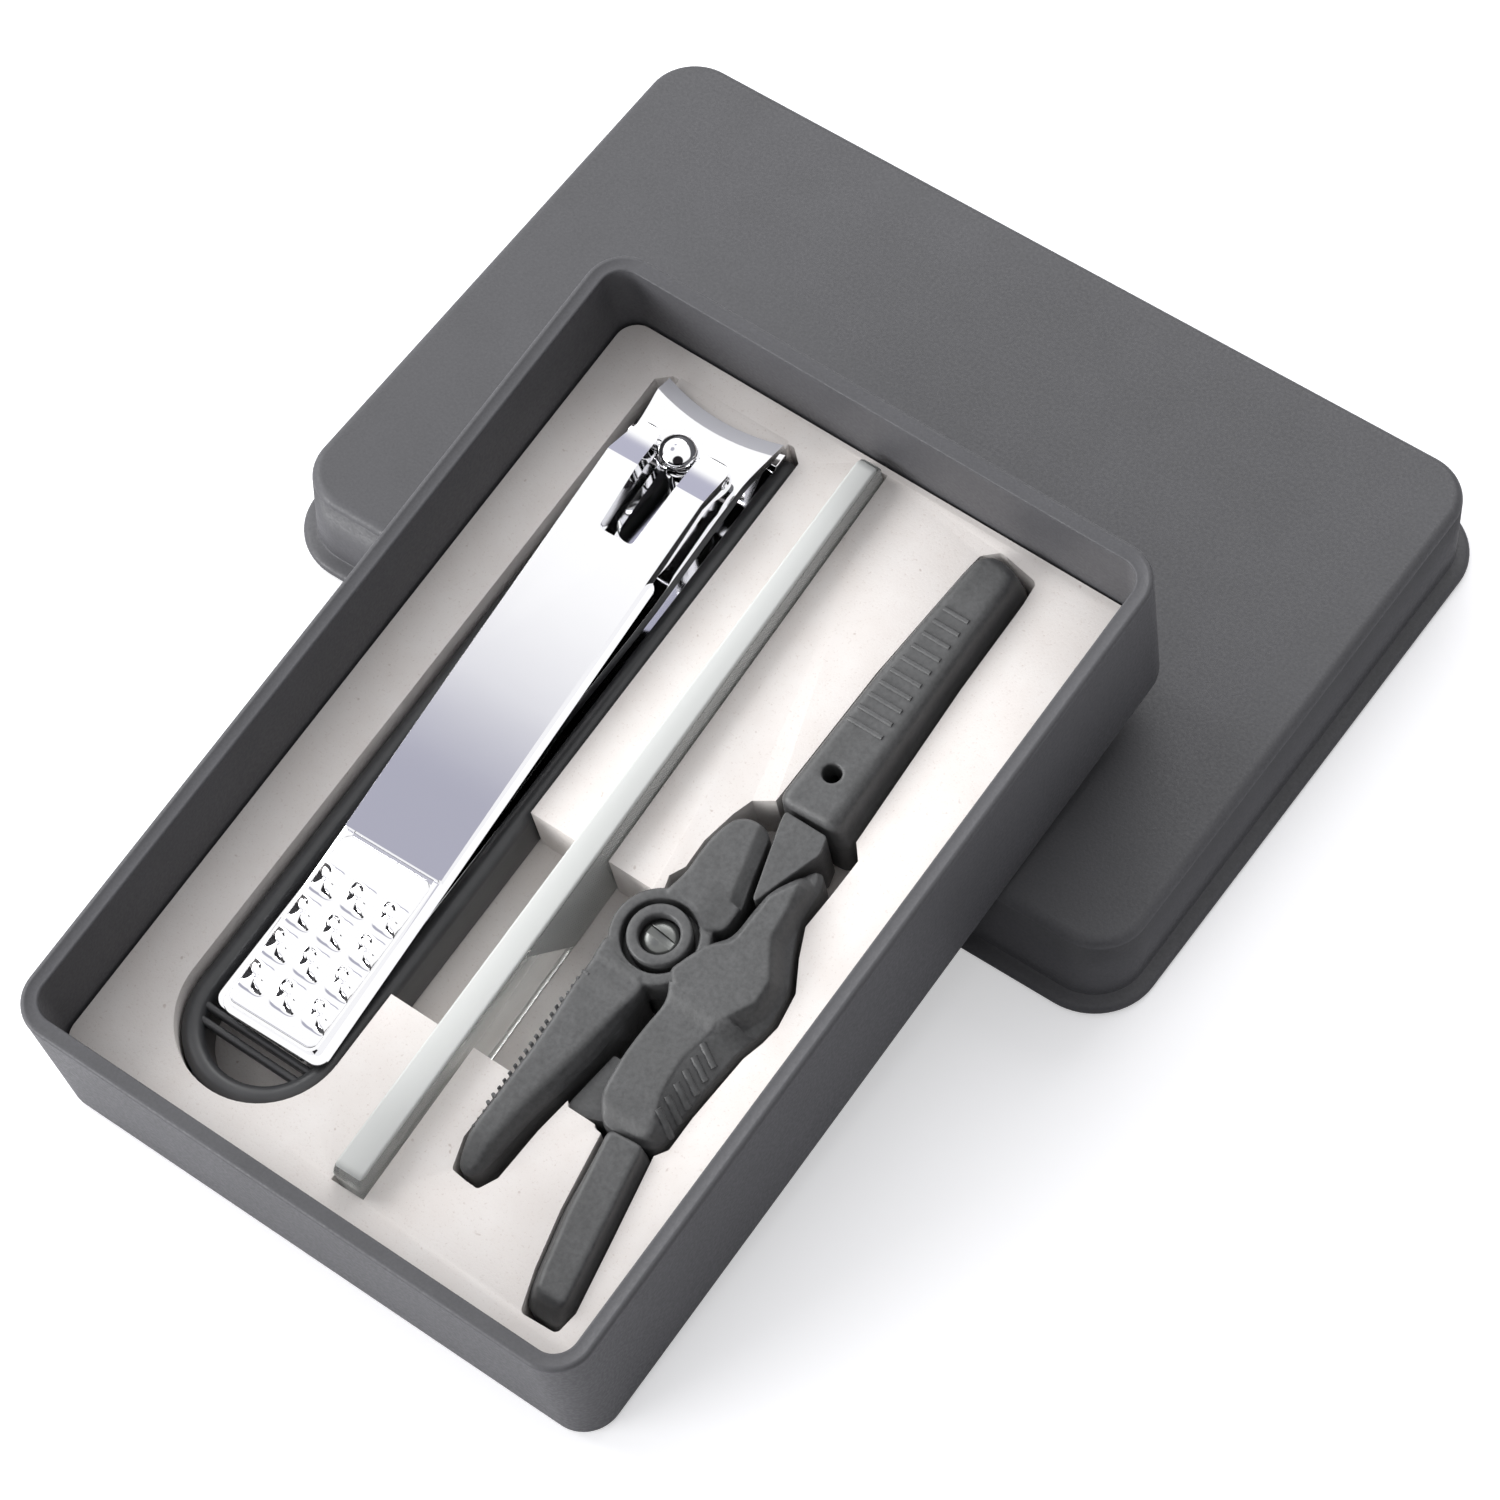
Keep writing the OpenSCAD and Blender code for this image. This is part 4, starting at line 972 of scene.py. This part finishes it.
swept = node(ribs, "GeometryNodeCurveToMesh", ("Curve", sized.outputs[0]), ("Profile Curve", bar.outputs[0]),
             ("Fill Caps", True))
coated(ribs, swept, given, result)


def ribbed(name, surface, count, start, step, rib, radius, sink, shrink=0.0):
    """A row of ribs on a level piece, as its own level piece."""
    seed = piece(name, [(0, 0, 0), (1, 0, 0), (0, 1, 0)], [(0, 1, 2)], FLAT)
    follow(seed, ribs, Count=count, Start=Vector(start) * MM, Step=Vector(step) * MM, Rib=Vector(rib) * MM,
           Shrink=shrink, Radius=radius * MM, Sink=sink * MM, Surface=surface, Finish=tool_plastic)
    print(name, "has", count, "ribs")
    return shaded(seed)


# %% [markdown]
# The frame gets a web between its handle and the fixed jaw, and six ribs down the handle's flank. One short
# helper ends every plastic piece of the nipper: it places the piece and says which body carries it.

# %% Web and flank ribs
def moulding(made, body, *nodes):
    """Ends a level piece of the nipper."""
    return finished(placed(made, NIPPER), tool_plastic, body, "tool_plastic", *nodes)


web_plan = [(2.9, -12.9), (5.2, -12.9), (5.5, -17.6), (7.4, -19.5), (6.6, -19.7), (4.7, -20.4), (3.4, -21.3),
            (2.2, -21.3), (2.1, -19.4)]
moulding(bevelled(prism("nipper_web", web_plan, 0.4, 7.6), 0.3, 2), "nipper")
flank = ribbed("flank_ribs", body, 6, (11.3, -15.9, 14), (-0.12, 1.75, 0), (2.4, -1.35, 0), 0.46, 0.1)
moulding(flank, "nipper")
moulding(body, "nipper", "nipper_body")

# %% [markdown]
# The moving lever is jaw, collar and grip in one. The jaw's inner face carries the slanted strip along its
# blade, and the grip dips a little behind the collar and slopes down at its tip.

# %% Moving lever
jaw_rows = [
    [-2.6, 4.4], [3.2, 3], [5.4, 4.2], [5.3, 8], [4.5, 10.4], [3.1, 15.8], [2.4, 16.5], [.2, 16.4, -.2, .2],
    [-1.2, 15.4, -.3], [-1.95, 12.8, -.3], [-2.05, 10.2, -.3], [-1.9, 7.7, -.3]]
grip_rows = [
    [1.9, -5.0, .3], [-4.9, -2.6], [-4.75, -5.4, -.3], [-4.55, -9.9, -.3], [-4.15, -13.9, -.3],
    [-3.95, -17.6, -.3], [-3.95, -25.3, -.3], [-3.95, -29.4, -.3], [-3.1, -32.0, -.2, -.6], [-1.6, -32.2, .2, -.6],
    [-1.4, -30.6, 1.0, -.4], [-1.1, -24.5, 1.3], [-.3, -19.4, 1.4], [.6, -14, 1.3], [1.2, -9.9, .8]]
mover = moulded("nipper_moving_lever", jaw_rows, FOOT + 0.1, TOP, KNEE + 0.6, 0.35, 0.4, 1.1)
cut(mover, moulded("grip", grip_rows, FOOT + 0.1, TOP, KNEE + 0.6, 0.5, 0.4, 1.3), "UNION")
drilled(mover, 5.85, -5, 6.1)
drilled(mover, 5.0, -5, 30)
cut(mover, prism("collar", circle(0, 0, 5.6, 96), 5.9, 8.0), "UNION")
rim = prism("rim", circle(0, 0, 5.6, 96), 5.95, TOP - 0.2)
cut(rim, prism("sector", [(1.2, 3.6), (12, 6), (12, -12), (-.4, -12), (-1, -3.8), (0, 0)], 8, 30))
cut(mover, rim, "UNION")
drilled(mover, 2.66, -5, 20)
drilled(mover, 4.3, 8, 30)
softened(mover, 0.19, 2)


def mover_top(x, y):
    if y > 3:
        strip = (x - (3.45 - 0.262 * (y - 9.2))) if y > 7.5 else 0.0
        root = 0.5 * smooth_step(x, 0.9, 5.4) * (1 - smooth_step(y, 6.5, 9.5))
        return TOP - 0.1 - 0.75 * max(0.0, min(1.2, strip)) - 1.3 * root
    if y < -4.4:
        return (TOP - 0.25 - 0.55 * smooth_step(-y, 4.6, 6.2) + 0.4 * smooth_step(-y, 6.6, 9.5)
                - 1.9 * smooth_step(-y, 26.5, 33.5) ** 1.5)
    return TOP - 0.1


topped(mover, KNEE, TOP, mover_top)
teeth = ribbed("lever_teeth", mover, 22, (-4.85, -7.6, 10.35), (0.032, -0.98, 0), (0.95, -0.12, 0), 0.24, 0.12)
moulding(teeth, "nipper_lever")
moulding(mover, "nipper_lever", "nipper_lever")

# %% [markdown]
# The fixed blade's plastic wedge runs from the notch beside the jaw into the sheath, and narrows to a
# tongue there. The pivot is a bush with a rounded ring on top; a slotted screw with a low domed head sits
# in it.

# %% Wedge, bush and screw
LANYARD_X, LANYARD_Y = 4.7, 25.4
wedge_rows = [[3.0, 17.8], [3.6, 15.9], [5.7, 9.1], [6.2, 9.0], [6.9, 11.4], [8.9, 17.2], [8.3, 19.35],
              [2.7, 19.35]]
wedge = moulded("nipper_stem_wedge", wedge_rows, 0.8, 10.2, 9.0, 0.2, 0.2, 0.5)
tongue = prism("tongue", [(7, 19), (7, 46), (5.5, 49), (4, 46), (4, 19)], 3.6, 7.4)
drilled(tongue, 1.4, 0, 20, LANYARD_X, LANYARD_Y, 48)
moulding(joined("nipper_stem_wedge", wedge, bevelled(tongue, 0.2, 2)), "nipper", "nipper_stem")

bush = turned("nipper_pivot_bush", [
    (1.42, 0.8), (2.5, 0.8), (2.6, 0.9), (2.6, 8.2), (3.5, 8.2), (3.6, 8.3), (3.6, 10.85), (3.56, 11.02),
    (3.45, 11.14), (3.28, 11.2), (2.62, 11.2), (2.46, 11.15), (2.35, 11.03), (2.3, 10.85), (2.3, 9.4),
    (1.42, 9.4), (1.42, 0.8)], steps=96)
# The profile ends where it starts, so the two end faces go and the bore stays open.
edited(bush,
       lambda b: bmesh.ops.delete(b, geom=[f for f in b.faces if len(f.verts) > 8], context="FACES_ONLY"),
       lambda b: bmesh.ops.remove_doubles(b, verts=b.verts, dist=1e-7), facing_out)
shaded(bush, 50)
moulding(bush, "nipper", "nipper_bush")

screw = turned("nipper_pivot_screw", [
    (0, 1.3), (1.2, 1.3), (1.3, 1.4), (1.3, 9.5), (2.0, 9.5), (2.12, 9.58), (2.15, 9.75), (2.14, 9.95),
    (2.02, 10.12), (1.7, 10.32), (1.2, 10.48), (0.6, 10.56), (0, 10.58)], steps=96)
slot = slab("slot", (-1.75, 1.75), (-0.5, 0.5), (9.7, 12))
slot.data.transform(Matrix.Rotation(math.radians(-6), 4, "Z"))
screw = placed(bevelled(cleaned(cut(screw, slot)), 0.07, 2, 35), NIPPER)
finished(screw, steel, "nipper", "tool_plastic", "nipper_screw")

# %% [markdown]
# The sheath that covers the blades is a long soft box with a lanyard hole and ten thumb ribs that get
# shorter towards its tip. The tail bar behind the handle has slanted sides and a sloping end.

# %% Sheath and tail
SHEATH_TOP = 11.1
sheath_rows = [
    [1.35, 19.7, -.2], [8.5, 20.2, 1.7, -.4], [8.4, 31.7, 1.3], [8.2, 42, 1.1], [8.0, 54, 1.2],
    [7.7, 56.1, 1.2, .4], [4.5, 56.6, .1, .6], [3.1, 55.3, -.3, .6], [2.8, 53.5, -.4], [1.8, 38.4, -.4]]
sheath = moulded("nipper_blade_sheath", sheath_rows, FOOT, SHEATH_TOP, KNEE - 1.5, 1.15, 0.5, 1.5)
cut(sheath, slab("tongue_room", (3.7, 7.3), (18, 49.4), (3.3, 7.7)))
drilled(sheath, 1.12, -5, 30, LANYARD_X, LANYARD_Y, 64)
softened(sheath, 0.2, 3)
topped(sheath, KNEE, SHEATH_TOP, lambda x, y: (
    SHEATH_TOP - 0.25 * smooth_step(y, 49.0, 57.0) - 0.25 * smooth_step(-y, -21.6, -19.4)))
thumb = ribbed("sheath_ribs", sheath, 10, (2.4, 31.7, 14), (0.14, 1.82, 0), (4.5, 0.05, 0), 0.34, 0.1, 0.032)
moulding(thumb, "nipper")
moulding(sheath, "nipper", "nipper_sheath")

tail_rows = [
    [8.2, -20.4, -.5], [10.0, -30.1, -1.1], [11.6, -36.8, -1.1], [12.5, -39.6, -.8, -1.2],
    [15.5, -39.2, .6, -1.6], [15.8, -38.4, .7], [14.2, -29.8, .7], [12.4, -20.0, .7]]
tail = softened(moulded("nipper_tail_bar", tail_rows, FOOT, 10.0, 7.7, 0.45, 0.4, 0.9), 0.2, 2)
topped(tail, 5.0, 10.0, lambda x, y: 10.0 - 1.3 * smooth_step(-y, 38.3, 41.2))
moulding(tail, "nipper", "nipper_tail")

for name in ("nipper_spring", "nipper_washer"):
    made = frame["nodes"][name]
    made.data.materials.clear()
    made.data.materials.append(chrome)

# %% [markdown]
# ## Stage, light and camera
# The floor is white to the camera and keeps the soft shadow. Three large soft lamps light the set, with a
# pale world that is darker on the right, so that walls on that side stay in shade. Polished metal is only
# as good as what it mirrors: for mirror rays the room is white overhead and turns dark towards the horizon.
# Four soft flags hang in it. Two grey ones give the flat panels their gradients, and two dark ones draw the
# lines along edges. No lamp stands where the lever's panel would mirror it, because a bright lamp wipes its
# gradient out.

# %% Stage
FAR = 2500
floor_points = [(-FAR, -FAR, 0), (FAR, -FAR, 0), (FAR, FAR, 0), (-FAR, FAR, 0)]
floor = piece("floor", floor_points, [(0, 1, 2, 3)], FLAT, smooth=False)
floor_finish, tree, shader = finish("floor", (0.86, 0.86, 0.88), 0.9)
shader.inputs["Specular IOR Level"].default_value = 0.1
FLOOR_GLOW = 0.42
ray = node(tree, "ShaderNodeLightPath")
seen = math_node(tree, "MULTIPLY", ray.outputs["Is Camera Ray"], FLOOR_GLOW)
glow = node(tree, "ShaderNodeEmission", ("Color", (1, 1, 1, 1)), ("Strength", seen))
both = node(tree, "ShaderNodeAddShader", (0, shader.outputs[0]), (1, glow.outputs[0]))
tree.links.new(both.outputs[0], tree.nodes["Material Output"].inputs["Surface"])
floor.data.materials.append(floor_finish)
floor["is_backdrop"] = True

# %% Light
world = bpy.data.worlds.new("soft_room")
bpy.context.scene.world = world
world.use_nodes = True
tree = world.node_tree
sky = tree.nodes["Background"]
ray = node(tree, "ShaderNodeLightPath")
way = node(tree, "ShaderNodeTexCoord").outputs["Generated"]
axes = node(tree, "ShaderNodeSeparateXYZ", (0, way))
room = ramp(tree, axes.outputs["Z"], (0.12, (0.02, 0.02, 0.025)), (0.24, (1.12, 1.12, 1.12)))


def flagged(room, colour, toward, wide, soft):
    """Darkens mirror rays within an angle of a direction; both angles in degrees."""
    dot = node(tree, "ShaderNodeVectorMath", (0, way), (1, Vector(toward).normalized()),
               operation="DOT_PRODUCT")
    step = node(tree, "ShaderNodeMapRange", ("Value", dot.outputs["Value"]),
                ("From Min", math.cos(math.radians(wide + soft))), ("From Max", math.cos(math.radians(wide))),
                interpolation_type="SMOOTHSTEP")
    return times(tree, room, ramp(tree, step.outputs[0], (0.0, 1.0), (1.0, colour)))


# Colour, direction, how wide the flag is and how soft its border.
FLAGS = [
    ((0.41, 0.41, 0.49), (-0.36, -0.215, 0.908), 7, 5.5),
    ((0.46, 0.46, 0.56), (-0.355, 0.27, 0.895), 3, 3),
    ((0.02, 0.02, 0.02), (0.1, 0.95, 0.28), 12, 5),
    ((0.02, 0.018, 0.02), (0.548, -0.722, 0.423), 24, 6)]
for row in FLAGS:
    room = flagged(room, *row)
soft = ramp(tree, axes.outputs["X"], (0.0, (0.8, 0.8, 0.815)), (0.8, (0.2, 0.2, 0.21)))
mirror = node(tree, "ShaderNodeMix", ("Factor", ray.outputs["Is Glossy Ray"]), ("A", soft), ("B", room),
              data_type="RGBA")
view = node(tree, "ShaderNodeMix", ("Factor", ray.outputs["Is Camera Ray"]), ("A", mirror.outputs["Result"]),
            ("B", (1, 1, 1, 1)), data_type="RGBA")
tree.links.new(view.outputs["Result"], sky.inputs["Color"])
sky.inputs["Strength"].default_value = 1.0


def lamp(name, spot, size, watts):
    """A soft box that faces the middle of the scene."""
    data = bpy.data.lights.new(name, "AREA")
    data.shape = "RECTANGLE"
    data.size, data.size_y = size
    data.energy = watts
    made = bpy.data.objects.new(name, data)
    made.location = spot
    made.rotation_euler = (-Vector(spot)).to_track_quat("-Z", "Y").to_euler()
    collection.objects.link(made)


lamp("soft_box_over_the_lid", (-0.25, 0.75, 0.75), (0.9, 0.6), 4.5)
lamp("soft_box_at_the_left", (-0.95, -0.1, 0.7), (0.7, 0.6), 7)
lamp("soft_box_in_front", (-0.7, -1.1, 0.24), (0.8, 0.4), 17)

# %% Camera
camera_data = bpy.data.cameras.new("camera")
camera = bpy.data.objects.new("camera", camera_data)
collection.objects.link(camera)
camera_data.sensor_width = 36
camera_data.lens = 129.29
camera_data.clip_start, camera_data.clip_end = 0.05, 20
turn, dip, roll = math.radians(126.088), math.radians(57.808), math.radians(-1.226)
ahead = Vector((math.cos(turn) * math.cos(dip), math.sin(turn) * math.cos(dip), -math.sin(dip)))
level_right = Vector((math.sin(turn), -math.cos(turn), 0))
level_up = level_right.cross(ahead)
right = math.cos(roll) * level_right + math.sin(roll) * level_up
top = -math.sin(roll) * level_right + math.cos(roll) * level_up
camera.matrix_world = Matrix((
    (right.x, top.x, -ahead.x, 0.19594),
    (right.y, top.y, -ahead.y, -0.29642 + lid_y * MM),
    (right.z, top.z, -ahead.z, 0.51891),
    (0, 0, 0, 1)))
bpy.context.scene.camera = camera
bpy.context.scene.view_settings.view_transform = "Standard"

# %% Sizes and finish
low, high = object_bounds()
